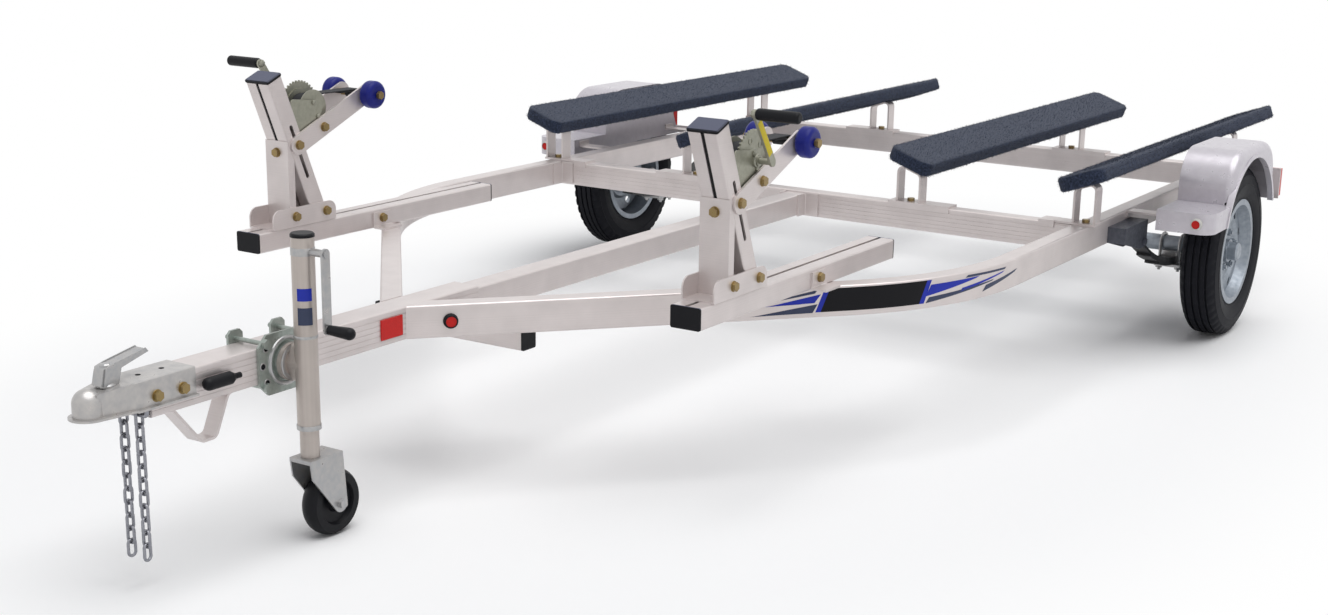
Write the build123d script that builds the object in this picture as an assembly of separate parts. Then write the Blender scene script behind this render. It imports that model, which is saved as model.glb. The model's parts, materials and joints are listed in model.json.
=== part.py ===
"""Two-place personal watercraft trailer, built as separate named pieces (millimetres).

Working frame while modelling: X forward from the middle of the wheel arch, Y left, Z up from the
ground. Every piece is moved by X_MID at the end, so that the origin lies on the ground at the
middle of the whole trailer.
"""
import math
import os

from build123d import *

os.makedirs("parts", exist_ok=True)

# Frame tubes
TUBE = 76.2                # square tongue, and height of the frame tubes
RAIL_W = 50.8              # width of side rails, cross members, posts and spreader
WALL = 4.0
CORNER_R = 5.0             # outside corner of every extruded tube
FRAME_Z = 345.0            # underside of the frame above the ground
FRAME_TOP = FRAME_Z + TUBE
MID_Z = FRAME_Z + TUBE / 2
TONGUE_FRONT, TONGUE_REAR = 3250.0, 2265.0
TONGUE_WALL = 6.0
SLIDE_GAP = 0.35           # play of the centre beam in the tongue
BEAM = TUBE - 2 * TONGUE_WALL - 2 * SLIDE_GAP
BEAM_LAP = 185.0           # how far the beam runs into the tongue
BEAM_FRONT = TONGUE_REAR + BEAM_LAP
GROOVE_STEP, GROOVE_W, GROOVE_D, GROOVES = 12.0, 2.6, 1.0, 5
CROSS_FRONT_X = 675.0      # front face of the front cross member
CROSS_REAR_X = -636.0      # front face of the rear cross member
RAIL_OUT_Y = 940.0         # outer face of a side rail
RAIL_IN_Y = RAIL_OUT_Y - RAIL_W
RAIL_REAR = -740.0
BEND_R = 800.0             # centreline radius of the bend
DIAG_A, DIAG_B = (2468.0, 85.0), (1781.0, 692.0)   # two points on a diagonal's outer face
SPREAD_X, SPREAD_Y = 2250.0, 190.0                 # rear face and half length of the spreader
ANGLE_LEG, ANGLE_T, ANGLE_H = 48.0, 5.0, 66.0      # corner brackets
CAP_T = 4.0                # end caps

# Running gear
AXLE_X = -30.0
AXLE_R, SPINDLE_R = 25.0, 15.0
TYRE_R, TYRE_W = 260.0, 114.0
TREAD_GROOVES, TREAD_STEP, TREAD_W, TREAD_D = 4, 21.0, 6.0, 6.0
CARCASS = 10.0             # thickness of the tyre's wall
RIM_R, RIM_SEAT_R, RIM_W, RIM_T, DISH_W = 162.0, 150.0, 84.0, 5.0, 40.0
HAND_HOLES, HAND_HOLE_R, HAND_HOLE_AT = 8, 13.0, 113.0
LUGS, LUG_AT, LUG_R, LUG_NUT, LUG_NUT_H = 5, 57.15, 6.0, 19.0, 14.0
HUB_R, HUB_T, HUB_BACK_R = 70.0, 10.0, 40.0
HUB_NECK_R, HUB_NECK, HUB_CAP_R, HUB_CAP = 35.0, 24.0, 28.0, 54.0
TYRE_GAP = 123.0           # side rail to the tyre's inner wall
TRACK_Y = RAIL_OUT_Y + TYRE_GAP + TYRE_W / 2
SPRING_W, SPRING_GAP = 45.0, 4.5
SPRING_Y = RAIL_OUT_Y + SPRING_GAP + SPRING_W / 2
EYE_REACH, EYE_Z, EYE_R, EYE_BOLT_R = 380.0, 333.0, 15.0, 7.0
LEAF_T, LEAF_REACH = 8.0, (EYE_REACH, 285.0, 200.0)
SEAT_T, SEAT_L = 8.0, 76.0
CLAMP_T, CLAMP_L, CLAMP_W = 8.0, 104.0, 80.0
U_BOLT_R, U_BOLT_Y, U_BOLT_TAIL = 5.0, 30.0, 16.0
HANGER_T, HANGER_DROP, HANGER_LOW = 4.0, 26.0, 30.0
HANGER_FRONT, HANGER_REAR = 165.0, 90.0            # how far each hanger runs past its eye
HANGER_BACK = 28.0
PLAY = 0.4

# Fenders
FENDER_IN, FENDER_OUT = TRACK_Y - 80.0, TRACK_Y + 85.0
FENDER_T = 5.0
DOME_LEAD, DOME_TRAIL, DOME_RISE = 25.0, 58.0, 72.0        # how the dome clears the tyre
DOME_FRONT, DOME_REAR = AXLE_X + TYRE_R - DOME_LEAD, AXLE_X - TYRE_R + DOME_TRAIL
DOME_TOP = 2 * TYRE_R + DOME_RISE
DOME_CORNER, DOME_EDGE = 110.0, 26.0
TAIL_TRAIL, TAIL_RISE = 18.0, 135.0
TAIL_X, TAIL_LOW = AXLE_X - TYRE_R + TAIL_TRAIL, TYRE_R + TAIL_RISE
STEP_L, STEP_RISE, STEP_H, STEP_CORNER = 190.0, 120.0, 61.0, 45.0
STEP_X, STEP_LOW = DOME_FRONT + STEP_L, TYRE_R + STEP_RISE
STEP_TOP = STEP_LOW + STEP_H
ARCH_IN, ARCH_RISE = 14.0, 52.0                            # the opening against the tyre
ARCH_R, ARCH_Z = TYRE_R - ARCH_IN, TYRE_R + ARCH_RISE
LIP_W, LIP_DEEP, LIP_PROUD = 12.0, 14.0, 3.0
FENDER_ARM_X, FENDER_ARM_L, FENDER_ARM_T = (342.0, -205.0), 50.0, 6.0

# Lamps
LAMP_X, LAMP_IN, LAMP_Z0, LAMP_Z1, LAMP_DEEP = -330.0, 100.0, 387.0, 483.0, 42.0
LAMP_PLATE_T, LAMP_ARM_H, LAMP_FOOT = 5.0, 26.0, 40.0
MARKER_R, MARKER_H, MARKER_BACK = 13.0, 10.0, 29.0
REFLECTOR_X, REFLECTOR_L, REFLECTOR_H, REFLECTOR_T = 2535.0, 70.0, 46.0, 3.0

# Watercraft supports
SKI_Y = 649.0              # centreline of one watercraft place
BUNK_W, BUNK_T, BUNK_L = 140.0, 42.0, 1720.0
BUNK_TILT, BUNK_EDGE, BUNK_CLIP = 20.0, 8.0, 20.0
BUNK_OUTER = (926.0, 559.0, 742.0)    # centre Y, centre Z, front X
BUNK_INNER = (377.0, 548.0, 686.0)
FOOT_OUTER, FOOT_INNER = (791.0, 958.0), (315.0, 512.0)   # Y reach of a bracket's foot
FOOT_T, FOOT_LIP, FOOT_LIP_T = 6.0, 14.0, 4.0
STRAP_T, STRAP_X, STRAP_BEND = 6.0, 44.0, 16.0
STRAP_HALF = 36.0          # half the spread of a bracket's two legs

# Winch stand
WRAIL_X0, WRAIL_X1, WRAIL_H = 1401.0, 2320.0, 50.8
WRAIL_TOP = FRAME_TOP + WRAIL_H
SLOT_W, SLOT_LIP, SLOT_D, SLOT_UNDERCUT = 9.0, 3.0, 7.0, 5.0
CLIP_L, CLIP_H, CLIP_FOOT, CLIP_T = 70.0, 42.0, 40.0, 5.0
CLIP_OUT_X, CLIP_IN_X = 1800.0, 1872.0
POST_FOOT, POST_TOP = (2094.0, 470.0), (2250.0, 855.0)
POST_CAP_H, POST_CAP_LAP = 9.0, 1.5
POST_SLOT = (135.0, 275.0, 11.0)                   # start and end up the post, width
BASE_X0, BASE_X1, BASE_TOP, BASE_T, BASE_ROUND = 2050.0, 2275.0, 522.0, 4.0, 24.0
LEG_X, LEG_T, LEG_FLANGE, LEG_TOP = 2212.0, 4.0, 22.0, 690.0
ARM_PIVOT, ARM_MID, ARM_END = (2177.0, 679.0), (2085.0, 715.0), (1925.0, 784.0)
ARM_W, ARM_T = 50.0, 6.0
PIN_R, SLEEVE_R = 6.0, 9.0
ROLLER_R, ROLLER_W, ROLLER_ROUND, ROLLER_GAP = 36.0, 38.0, 12.0, 3.0
WINCH = (2103.0, 762.0)
WINCH_HALF, WINCH_T, WINCH_EAR, SHAFT_R = 35.0, 3.0, 22.0, 8.0
GEAR_R, GEAR_TEETH, GEAR_TOOTH, GEAR_T = 68.0, 40, 5.0, 4.0
DRUM_R, DRUM_T, COIL_R = 48.0, 2.5, 36.0
WEB_W, WEB_T = 42.0, 4.0
CRANK_TOP, CRANK_Y, CRANK_W, CRANK_T = (2180.0, 875.0), 74.0, 20.0, 6.0
GRIP_L, GRIP_R, GRIP_ROUND = 105.0, 13.0, 6.0

# Coupler and chains
COUPLER_TIP, COUPLER_REAR, SHEET = 3404.0, 3140.0, 3.0
BALL_R, BALL_WALL, BALL_Z = 25.9, 3.6, 396.0
LIP_FLARE, LIP_T, NOSE_LOW = 8.0, 4.0, 368.0
BALL_X = COUPLER_TIP - LIP_FLARE - BALL_R - BALL_WALL
NECK_X, NECK_H, NECK_W = 3290.0, 40.0, 52.0   # where the neck starts to taper, its front end
COUPLER_LOW = 366.0        # lower edge of the cheeks over the tongue
LATCH_W, LATCH_T, LATCH_BEND = 26.0, 5.0, 10.0
LATCH = ((3342.0, 0.0), (3334.0, 32.0), (3312.0, 36.0), (3236.0, 50.0))
LATCH_POST_X, LATCH_POST_R, LATCH_POST_H = 3322.0, 9.0, 30.0
CHAIN_X, HOOK_R, HOOK_Z = 3268.0, 4.4, 354.0
LINK_IN, LINK_D, LINK_W, LINK_CUT, LINK_IN_CUT = 27.4, 6.4, 23.0, 6.5, 1.5
CHAIN_Y, CHAIN_LINKS = 22.0, 11
LOOP_W, LOOP_T, LOOP_BEND = 38.0, 6.0, 16.0
LOOP = ((3222.0, 0.0), (3182.0, 0.0), (3112.0, 84.0), (3074.0, 84.0), (3036.0, 0.0), (3000.0, 0.0))

PLUG_X0, PLUG_X1, PLUG_Z, PLUG_R, PLUG_TAIL_R, PLUG_CLIP = 3036.0, 3132.0, 385.0, 13.5, 6.0, 2.0
COUPLER_BOLTS, COUPLER_BOLT_Z = (3238.0, 3173.0), 388.0
BASE_BOLTS, BASE_BOLT_Z, LEG_BOLT_Z, CLIP_BOLT_UP = (2085.0, 2195.0), 498.0, 660.0, 26.0

# Jack
JACK_X, JACK_Y = 2897.0, 100.0
JACK_R, JACK_WALL, JACK_FIT, JACK_LEG_WALL = 24.0, 3.2, 0.8, 3.0
JACK_LEG_R = JACK_R - JACK_WALL - JACK_FIT
JACK_TOP, JACK_END, LEG_END, LEG_L = 657.0, 246.0, 186.0, 330.0
JACK_CAP_H, JACK_CAP_LAP = 8.0, 1.0
PLATE_L, PLATE_H, PLATE_T, PLATE_CUT = 156.0, 128.0, 6.0, 24.0
CLAMP_BOLT_R, CLAMP_BOLT_X, CLAMP_BOLT_Z, CLEAT_W = 5.0, 60.0, 46.0, 40.0
PIVOT_R, PIVOT_T, PIVOT_GAP = 40.0, 10.0, 0.4
JACK_CRANK_Z, JACK_HAND_Z, JACK_CRANK_R, JACK_BOSS_R = 620.0, 465.0, 5.0, 8.0
JACK_ARM_OUT, JACK_EYE_R, JACK_GRIP_L, JACK_GRIP_R, JACK_GRIP_NECK = 58.0, 11.0, 66.0, 13.0, 10.0
CASTER_R, CASTER_W, CASTER_TRAIL, CASTER_DISH, CASTER_HUB_R = 72.0, 42.0, 55.0, 8.0, 18.0
FORK_T, FORK_GAP, FORK_TOP_T, FORK_EAR = 4.0, 5.0, 8.5, 19.0
FORK_FRONT, FORK_CORNER, FORK_CHIN = 30.0, 10.0, 40.0

HEAD, HEAD_H = 19.0, 9.0   # bolt heads across flats and high
S45 = math.sqrt(0.5)

X_REAR = BUNK_INNER[2] - BUNK_L
X_MID = (COUPLER_TIP + X_REAR) / 2


def box(x0, x1, y0, y1, z0, z1):
    """Box between two corners."""
    return Pos((x0 + x1) / 2, (y0 + y1) / 2, (z0 + z1) / 2) * Box(abs(x1 - x0), abs(y1 - y0), abs(z1 - z0))


def rod(a, b, r):
    """Cylinder of radius r from point a to point b."""
    a, b = Vector(*a), Vector(*b)
    return Plane(origin=(a + b) * 0.5, z_dir=b - a) * Cylinder(r, (b - a).length)


def outline(*points):
    """Face inside straight runs between the points."""
    return make_face(Polyline(*points, close=True))


def arc_outline(points):
    """Face from corners; a corner with four numbers is reached by an arc through its last two."""
    edges = []
    for start, end in zip(points, points[1:] + points[:1]):
        run = ThreePointArc(start[:2], end[2:], end[:2]) if len(end) == 4 else Line(start[:2], end[:2])
        edges.append(run)
    return make_face(edges)


def rounded(*circles):
    """Face stretched round circles given as (x, y, radius)."""
    edges = ShapeList()
    for x, y, r in circles:
        edges += (Pos(x, y) * Circle(r)).edges()
    return make_hull(edges)


def strip(points, bend, thickness):
    """Edge view of a bent strip whose middle follows the points."""
    return trace(FilletPolyline(*points, radius=bend), line_width=thickness)


def along_x(sketch, x0, x1):
    """Sketch in (Y, Z), drawn out from x0 to x1."""
    return extrude(Plane(origin=(x0, 0, 0), x_dir=(0, 1, 0), z_dir=(1, 0, 0)) * sketch, amount=x1 - x0)


def along_y(sketch, y0, y1):
    """Sketch in (X, Z), drawn out between y0 and y1."""
    plane = Plane(origin=(0, max(y0, y1), 0), x_dir=(1, 0, 0), z_dir=(0, -1, 0))
    return extrude(plane * sketch, amount=abs(y1 - y0))


def along_z(sketch, z0, z1):
    """Sketch in (X, Y), drawn out from z0 to z1."""
    return extrude(Plane(origin=(0, 0, z0)) * sketch, amount=z1 - z0)


def turned(sketch, x, z):
    """Sketch in (radius, Y), turned about a cross axis at x, z."""
    return revolve(Plane(origin=(x, 0, z)) * sketch, axis=Axis((x, 0, z), (0, 1, 0)))


def hex_head(x, y, z, axis, across, height):
    """Hexagon bolt head that starts at the point and rises along the axis."""
    sketch = RegularPolygon(across / 2, 6, major_radius=False)
    return extrude(Plane(origin=(x, y, z), z_dir=axis) * sketch, amount=height)


def joined(pieces):
    """One solid from touching pieces."""
    shape = pieces[0]
    for piece in pieces[1:]:
        shape = shape + piece
    return shape


def other_side(shape):
    """Mirror image across the trailer's centreline."""
    return mirror(shape, about=Plane.XZ)


def both(shapes):
    """The pieces of the left side and their mirror images."""
    return [*shapes, *[other_side(s) for s in shapes]]


def save(name, *shapes):
    """Write one piece, moved so that the origin is the middle of the trailer."""
    moved = [Pos(-X_MID, 0, 0) * s for s in shapes]
    solids = [s for m in moved for s in m.solids()]
    export_step(solids[0] if len(solids) == 1 else Compound(children=solids), f"parts/{name}.step")


def tube_section(width, height, wall, ribbed=False):
    """Round-cornered tube section, with fine grooves along both sides when ribbed."""
    inner_r = max(CORNER_R - wall, wall / 8)
    section = RectangleRounded(width, height, CORNER_R)
    section -= RectangleRounded(width - 2 * wall, height - 2 * wall, inner_r)
    if ribbed:
        for i in range(GROOVES):
            z = (i - (GROOVES - 1) / 2) * GROOVE_STEP
            for side in (1, -1):
                section -= Pos(side * (width - GROOVE_D) / 2, z) * Rectangle(GROOVE_D, GROOVE_W)
    return section


def slotted_section(width, height):
    """Round-cornered tube section with a T-slot let into its top face."""
    floor = height / 2 - 2 * SLOT_LIP - SLOT_D
    hollow = floor + height / 2 - WALL
    section = RectangleRounded(width, height, CORNER_R)
    section -= Pos(0, (height - SLOT_LIP) / 2) * Rectangle(SLOT_W, SLOT_LIP)
    section -= Pos(0, (height - SLOT_D) / 2 - SLOT_LIP) * Rectangle(SLOT_W + 2 * SLOT_UNDERCUT, SLOT_D)
    section -= Pos(0, floor - hollow / 2) * Rectangle(width - 2 * WALL, hollow)
    return section


# Tongue, and the centre beam that slides into it
tongue = Pos(0, MID_Z) * tube_section(TUBE, TUBE, TONGUE_WALL, True)
save("tongue", along_x(tongue, TONGUE_REAR, TONGUE_FRONT))
save("center_beam", along_x(Pos(0, MID_Z) * tube_section(BEAM, BEAM, WALL), CROSS_FRONT_X, BEAM_FRONT))

# Bent side rails: diagonal from the tongue, long bend, straight run to the rear
diag_run = math.dist(DIAG_A, DIAG_B)
diag_x, diag_y = (DIAG_B[0] - DIAG_A[0]) / diag_run, (DIAG_B[1] - DIAG_A[1]) / diag_run
turn = math.atan2(diag_y, -diag_x)
rail_y = RAIL_OUT_Y - RAIL_W / 2
foot_x, foot_y = DIAG_A[0] - diag_y * RAIL_W / 2, DIAG_A[1] + diag_x * RAIL_W / 2
corner_x = foot_x + diag_x * (rail_y - foot_y) / diag_y
tangent = BEND_R * math.tan(turn / 2)
overrun = TUBE + RAIL_W
start = (foot_x - diag_x * overrun, foot_y - diag_y * overrun, MID_Z)
bend_in = (corner_x - diag_x * tangent, rail_y - diag_y * tangent, MID_Z)
bend_out = (corner_x - tangent, rail_y, MID_Z)
half_turn = math.pi / 2 - turn / 2
bend_mid = (bend_out[0] + BEND_R * math.cos(half_turn), rail_y - BEND_R + BEND_R * math.sin(half_turn), MID_Z)
rail_path = Line(start, bend_in) + ThreePointArc(bend_in, bend_mid, bend_out)
rail_path += Line(bend_out, (RAIL_REAR, rail_y, MID_Z))
rail_plane = Plane(origin=start, x_dir=(-diag_y, diag_x, 0), z_dir=(diag_x, diag_y, 0))
rail = sweep(rail_plane * tube_section(RAIL_W, TUBE, WALL), path=rail_path)
rail -= box(TONGUE_REAR - TUBE, start[0] + TUBE, -4 * TUBE, TUBE / 2, FRAME_Z - WALL, FRAME_TOP + WALL)
save("side_rail_left", rail)
save("side_rail_right", other_side(rail))

# Cross members between the rails, ribbed along their length
for name, x_face in (("front", CROSS_FRONT_X), ("rear", CROSS_REAR_X)):
    section = Pos(x_face - RAIL_W / 2, MID_Z) * tube_section(RAIL_W, TUBE, WALL, True)
    save(f"cross_member_{name}", along_y(section, -RAIL_IN_Y, RAIL_IN_Y))

# Spreader under the tongue, where the diagonals meet
spreader = Pos(SPREAD_X + RAIL_W / 2, FRAME_Z - RAIL_W / 2) * tube_section(RAIL_W, RAIL_W, WALL)
save("spreader", along_y(spreader, -SPREAD_Y, SPREAD_Y))

# Bent corner brackets at the frame joints: corner, direction along X, direction along Y
corners = [(CROSS_FRONT_X, BEAM / 2, 1, 1), (CROSS_FRONT_X, RAIL_IN_Y, 1, -1),
           (CROSS_FRONT_X - RAIL_W, RAIL_IN_Y, -1, -1), (CROSS_REAR_X, RAIL_IN_Y, 1, -1),
           (CROSS_REAR_X - RAIL_W, RAIL_IN_Y, -1, -1)]
angles = []
for x, y, sx, sy in corners:
    bent_x, bent_y = x + sx * ANGLE_T / 2, y + sy * ANGLE_T / 2
    legs = [(x + sx * ANGLE_LEG, bent_y), (bent_x, bent_y), (bent_x, y + sy * ANGLE_LEG)]
    angle = strip(legs, ANGLE_T, ANGLE_T)
    angles.append(along_z(angle, MID_Z - ANGLE_H / 2, MID_Z + ANGLE_H / 2))
save("corner_brackets", *both(angles))

# Winch rails with a slot along the top, and the clips that hold them on the diagonals
w = TUBE / 2
wrail = along_x(Pos(SKI_Y, FRAME_TOP + WRAIL_H / 2) * slotted_section(TUBE, WRAIL_H), WRAIL_X0, WRAIL_X1)
save("winch_rails", *both([wrail]))
clips = []
for side, x_mid in ((1, CLIP_OUT_X), (-1, CLIP_IN_X)):
    y = SKI_Y + side * (w + CLIP_T / 2)
    z = FRAME_TOP + CLIP_T / 2
    clip = strip([(y, FRAME_TOP + CLIP_H), (y, z), (y + side * CLIP_FOOT, z)], CLIP_T, CLIP_T)
    clips.append(along_x(clip, x_mid - CLIP_L / 2, x_mid + CLIP_L / 2))
save("rail_clips", *both(clips))

# Winch posts, each in its own leaning plane
lean = math.atan2(POST_TOP[0] - POST_FOOT[0], POST_TOP[1] - POST_FOOT[1])
post_len = math.dist(POST_FOOT, POST_TOP)
along = (math.sin(lean), math.cos(lean))
ahead = (math.cos(lean), -math.sin(lean))
floor_z = WRAIL_TOP + BASE_T


def on_post(s, t):
    """World (x, z) at s up the post and t ahead of its axis."""
    return (POST_FOOT[0] + along[0] * s + ahead[0] * t, POST_FOOT[1] + along[1] * s + ahead[1] * t)


def up_post(sketch, s0, s1):
    """Sketch in (across, ahead), drawn out along the post from s0 to s1."""
    x, z = on_post(s0, 0)
    plane = Plane(origin=(x, SKI_Y, z), x_dir=(0, -1, 0), z_dir=(along[0], 0, along[1]))
    return extrude(plane * sketch, amount=s1 - s0)


post_low, post_high = -RAIL_W, post_len - POST_CAP_H
post_block = up_post(Rectangle(TUBE, RAIL_W), post_low, post_high)
post = up_post(slotted_section(TUBE, RAIL_W), post_low, post_high)
post -= box(BASE_X0 - TUBE, BASE_X1, SKI_Y - TUBE, SKI_Y + TUBE, FRAME_Z, floor_z)
slot_low, slot_high, slot_w = POST_SLOT
slot = rounded((*on_post(slot_low, 0), slot_w / 2), (*on_post(slot_high, 0), slot_w / 2))
post -= along_y(slot, SKI_Y - TUBE, SKI_Y + TUBE)
save("winch_posts", *both([post]))

# Post base: channel on the winch rail, with rounded cheeks
base = box(BASE_X0, BASE_X1, SKI_Y - w - BASE_T, SKI_Y + w + BASE_T, WRAIL_TOP, floor_z)
cheek = outline((BASE_X0, WRAIL_TOP), (BASE_X1, WRAIL_TOP), (BASE_X1, BASE_TOP), (BASE_X0, BASE_TOP))
cheek = fillet(cheek.vertices().group_by(Axis.Y)[-1], BASE_ROUND)
for side in (1, -1):
    base += along_y(cheek, SKI_Y + side * w, SKI_Y + side * (w + BASE_T))
save("post_bases", *both([base]))

# Upright front leg: channel from the base to the post's front face
leg = box(LEG_X - LEG_T, LEG_X, SKI_Y - w, SKI_Y + w, floor_z, LEG_TOP)
for side in (1, -1):
    leg += box(LEG_X - LEG_FLANGE, LEG_X, SKI_Y + side * w, SKI_Y + side * (w - LEG_T), floor_z, LEG_TOP)
leg = (leg - post_block).solids().sort_by(SortBy.VOLUME)[-1]
save("post_legs", *both([leg]))

# Roller arms, a pair of flat bars on each post, bored for the roller pin
arm = rounded((*ARM_PIVOT, ARM_W / 2), (*ARM_END, ARM_W / 2)) - Pos(*ARM_END) * Circle(PIN_R + PLAY)
arms = [along_y(arm, SKI_Y + side * w, SKI_Y + side * (w + ARM_T)) for side in (1, -1)]
save("roller_arms", *both(arms))

# Pin with its sleeve, and the rollers that turn on it
roller_in = w + ARM_T + ROLLER_GAP
roller_out = roller_in + ROLLER_W
pin_end = roller_out + ROLLER_GAP


def cross_rod(centre, y0, y1, r):
    """Round bar across a winch stand at an (x, z) point."""
    return rod((centre[0], SKI_Y + y0, centre[1]), (centre[0], SKI_Y + y1, centre[1]), r)


pin = cross_rod(ARM_END, -pin_end, pin_end, PIN_R) + cross_rod(ARM_END, -w, w, SLEEVE_R)
for side in (1, -1):
    pin += hex_head(ARM_END[0], SKI_Y + side * pin_end, ARM_END[1], (0, side, 0), HEAD, HEAD_H)
save("roller_pins", *both([pin]))

barrel_r = PIN_R + 2 * PLAY
barrel = Pos((barrel_r + ROLLER_R) / 2, 0) * Rectangle(ROLLER_R - barrel_r, ROLLER_W)
barrel = fillet(barrel.vertices().group_by(Axis.X)[-1], ROLLER_ROUND)
rollers = [turned(Pos(0, SKI_Y + side * (roller_in + ROLLER_W / 2)) * barrel, *ARM_END) for side in (1, -1)]
save("bow_rollers_left", *rollers)
save("bow_rollers_right", *[other_side(r) for r in rollers])

# Winches between the arms: back plate, cheeks, shaft, drum flanges and toothed wheel
winch_s = (WINCH[0] - POST_FOOT[0]) * along[0] + (WINCH[1] - POST_FOOT[1]) * along[1]
post_back = -RAIL_W / 2
ear_t = post_back - WINCH_EAR / 2
ear_r = WINCH_EAR / 2
cheek = rounded((*on_post(winch_s - DRUM_R, ear_t), ear_r), (*on_post(winch_s + DRUM_R, ear_t), ear_r),
                (*WINCH, WINCH_EAR))
back = outline(on_post(winch_s - DRUM_R, post_back), on_post(winch_s + DRUM_R, post_back),
               on_post(winch_s + DRUM_R, post_back - WINCH_T), on_post(winch_s - DRUM_R, post_back - WINCH_T))
winch = along_y(back, SKI_Y - WINCH_HALF, SKI_Y + WINCH_HALF)
for side in (1, -1):
    winch += along_y(cheek, SKI_Y + side * WINCH_HALF, SKI_Y + side * (WINCH_HALF - WINCH_T))
shaft = cross_rod(WINCH, -WINCH_HALF, WINCH_HALF, SHAFT_R)
winch += shaft
for side in (1, -1):
    winch += cross_rod(WINCH, side * WEB_W / 2 + side * PLAY, side * (WEB_W / 2 + DRUM_T), DRUM_R)
tooth = 2 * math.pi / GEAR_TEETH
teeth = [(WINCH[0] + r * math.cos((i + k) * tooth), WINCH[1] + r * math.sin((i + k) * tooth))
         for i in range(GEAR_TEETH)
         for k, r in ((0.0, GEAR_R - GEAR_TOOTH), (0.25, GEAR_R), (0.5, GEAR_R), (0.75, GEAR_R - GEAR_TOOTH))]
gear_y = SKI_Y + WEB_W / 2 + DRUM_T
winch += along_y(outline(*teeth), gear_y, gear_y + GEAR_T)
save("winches", *both([winch - post_block]))

# Strap wound on the drum and hooked round the roller pin's sleeve
web = WEB_W / 2
coil = cross_rod(WINCH, -web, web, COIL_R)
web_start = (WINCH[0], WINCH[1] + COIL_R - WEB_T / 2)
web_end = (ARM_END[0], ARM_END[1] + SLEEVE_R + WEB_T / 2)
band = along_y(trace(Line(web_start, web_end), line_width=WEB_T), SKI_Y - web, SKI_Y + web)
eye = cross_rod(ARM_END, -web, web, SLEEVE_R + WEB_T) - cross_rod(ARM_END, -w, w, SLEEVE_R)
save("winch_straps", *both([coil + band + eye - shaft]))

# Winch cranks and their grips
crank_bar = rounded((*WINCH, CRANK_W / 2), (*CRANK_TOP, CRANK_W / 2))
crank = along_y(crank_bar, SKI_Y + CRANK_Y, SKI_Y + CRANK_Y + CRANK_T)
crank += cross_rod(WINCH, WINCH_HALF, CRANK_Y, SHAFT_R - WINCH_T / 3)
save("winch_cranks", *both([crank]))
grip = cross_rod(CRANK_TOP, CRANK_Y + CRANK_T, CRANK_Y + CRANK_T + GRIP_L, GRIP_R)
grip = fillet(grip.edges().filter_by(GeomType.CIRCLE), GRIP_ROUND)
save("crank_grips", *both([grip]))

# Bunks, tilted towards the middle of each watercraft place, on bent-strap brackets
bracket_x = {"front": CROSS_FRONT_X - RAIL_W / 2, "rear": CROSS_REAR_X - RAIL_W / 2}
brackets = {"front": [], "rear": []}
bracket_bolts = []
for name, (y, z, x_front), tilt, (foot_in, foot_out) in (
        ("outer", BUNK_OUTER, BUNK_TILT, FOOT_OUTER), ("inner", BUNK_INNER, -BUNK_TILT, FOOT_INNER)):
    plank = Rectangle(BUNK_L, BUNK_W)
    plank = chamfer(plank.vertices(), BUNK_CLIP)
    core = extrude(plank, amount=BUNK_T / 2, both=True)
    core = fillet(core.edges().filter_by(Axis.X), BUNK_EDGE)
    bunk = Pos(x_front - BUNK_L / 2, y, z) * Rot(tilt, 0, 0) * core
    save(f"bunk_{name}_left", bunk)
    save(f"bunk_{name}_right", other_side(bunk))
    slope = math.tan(math.radians(tilt))
    drop = (BUNK_T + STRAP_T) / 2 / math.cos(math.radians(tilt))
    leg_low = FRAME_TOP + FOOT_T
    leg_in = max(y - STRAP_HALF, foot_in + STRAP_T)
    leg_out = min(y + STRAP_HALF, foot_out - STRAP_T)
    path = [(leg_in, leg_low), (leg_in, z + (leg_in - y) * slope - drop),
            (leg_out, z + (leg_out - y) * slope - drop), (leg_out, leg_low)]
    bent = strip(path, STRAP_BEND, STRAP_T)
    bracket_bolts.append((leg_in + leg_out) / 2)
    lip_out = min(foot_out, RAIL_IN_Y - ANGLE_LEG - FOOT_LIP_T)
    for end, x_mid in bracket_x.items():
        foot = box(x_mid - RAIL_W / 2, x_mid + RAIL_W / 2, foot_in, foot_out, FRAME_TOP, FRAME_TOP + FOOT_T)
        for side in (1, -1):
            x_lip = x_mid + side * RAIL_W / 2
            foot += box(x_lip, x_lip + side * FOOT_LIP_T, foot_in, lip_out,
                        FRAME_TOP - FOOT_LIP, FRAME_TOP + FOOT_T)
        brackets[end].append(foot + along_x(bent, x_mid - STRAP_X / 2, x_mid + STRAP_X / 2))
for end, made in brackets.items():
    save(f"bunk_brackets_{end}", *both(made))

# Axle beam with a spindle at each end
hub_out = HUB_T + RIM_W / 2
axle_y = TRACK_Y - TYRE_W / 2 - CARCASS
axle = rod((AXLE_X, -axle_y, TYRE_R), (AXLE_X, axle_y, TYRE_R), AXLE_R)
axle += rod((AXLE_X, -TRACK_Y - hub_out / 2, TYRE_R), (AXLE_X, TRACK_Y + hub_out / 2, TYRE_R), SPINDLE_R)
save("axle", axle)

# Leaf springs under the axle, with a rolled eye at each end
seat_top = TYRE_R - AXLE_R
leaf_top = seat_top - SEAT_T
sag = EYE_Z - leaf_top + LEAF_T / 2
main_r = (EYE_REACH ** 2 + sag ** 2) / (2 * sag)
arc_z = leaf_top - LEAF_T / 2 + main_r
spring_in, spring_out = SPRING_Y - SPRING_W / 2, SPRING_Y + SPRING_W / 2
leaves = []
for i, reach in enumerate(LEAF_REACH):
    inner, outer = main_r + (i - 0.5) * LEAF_T, main_r + (i + 0.5) * LEAF_T
    end_a = math.asin(reach / (main_r + i * LEAF_T))
    tips = [(AXLE_X + r * math.sin(a), arc_z - r * math.cos(a))
            for r, a in ((inner, -end_a), (inner, end_a), (outer, end_a), (outer, -end_a))]
    leaf = arc_outline([tips[0], (*tips[1], AXLE_X, arc_z - inner),
                        tips[2], (*tips[3], AXLE_X, arc_z - outer)])
    leaves.append(along_y(leaf, spring_in, spring_out))
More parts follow.
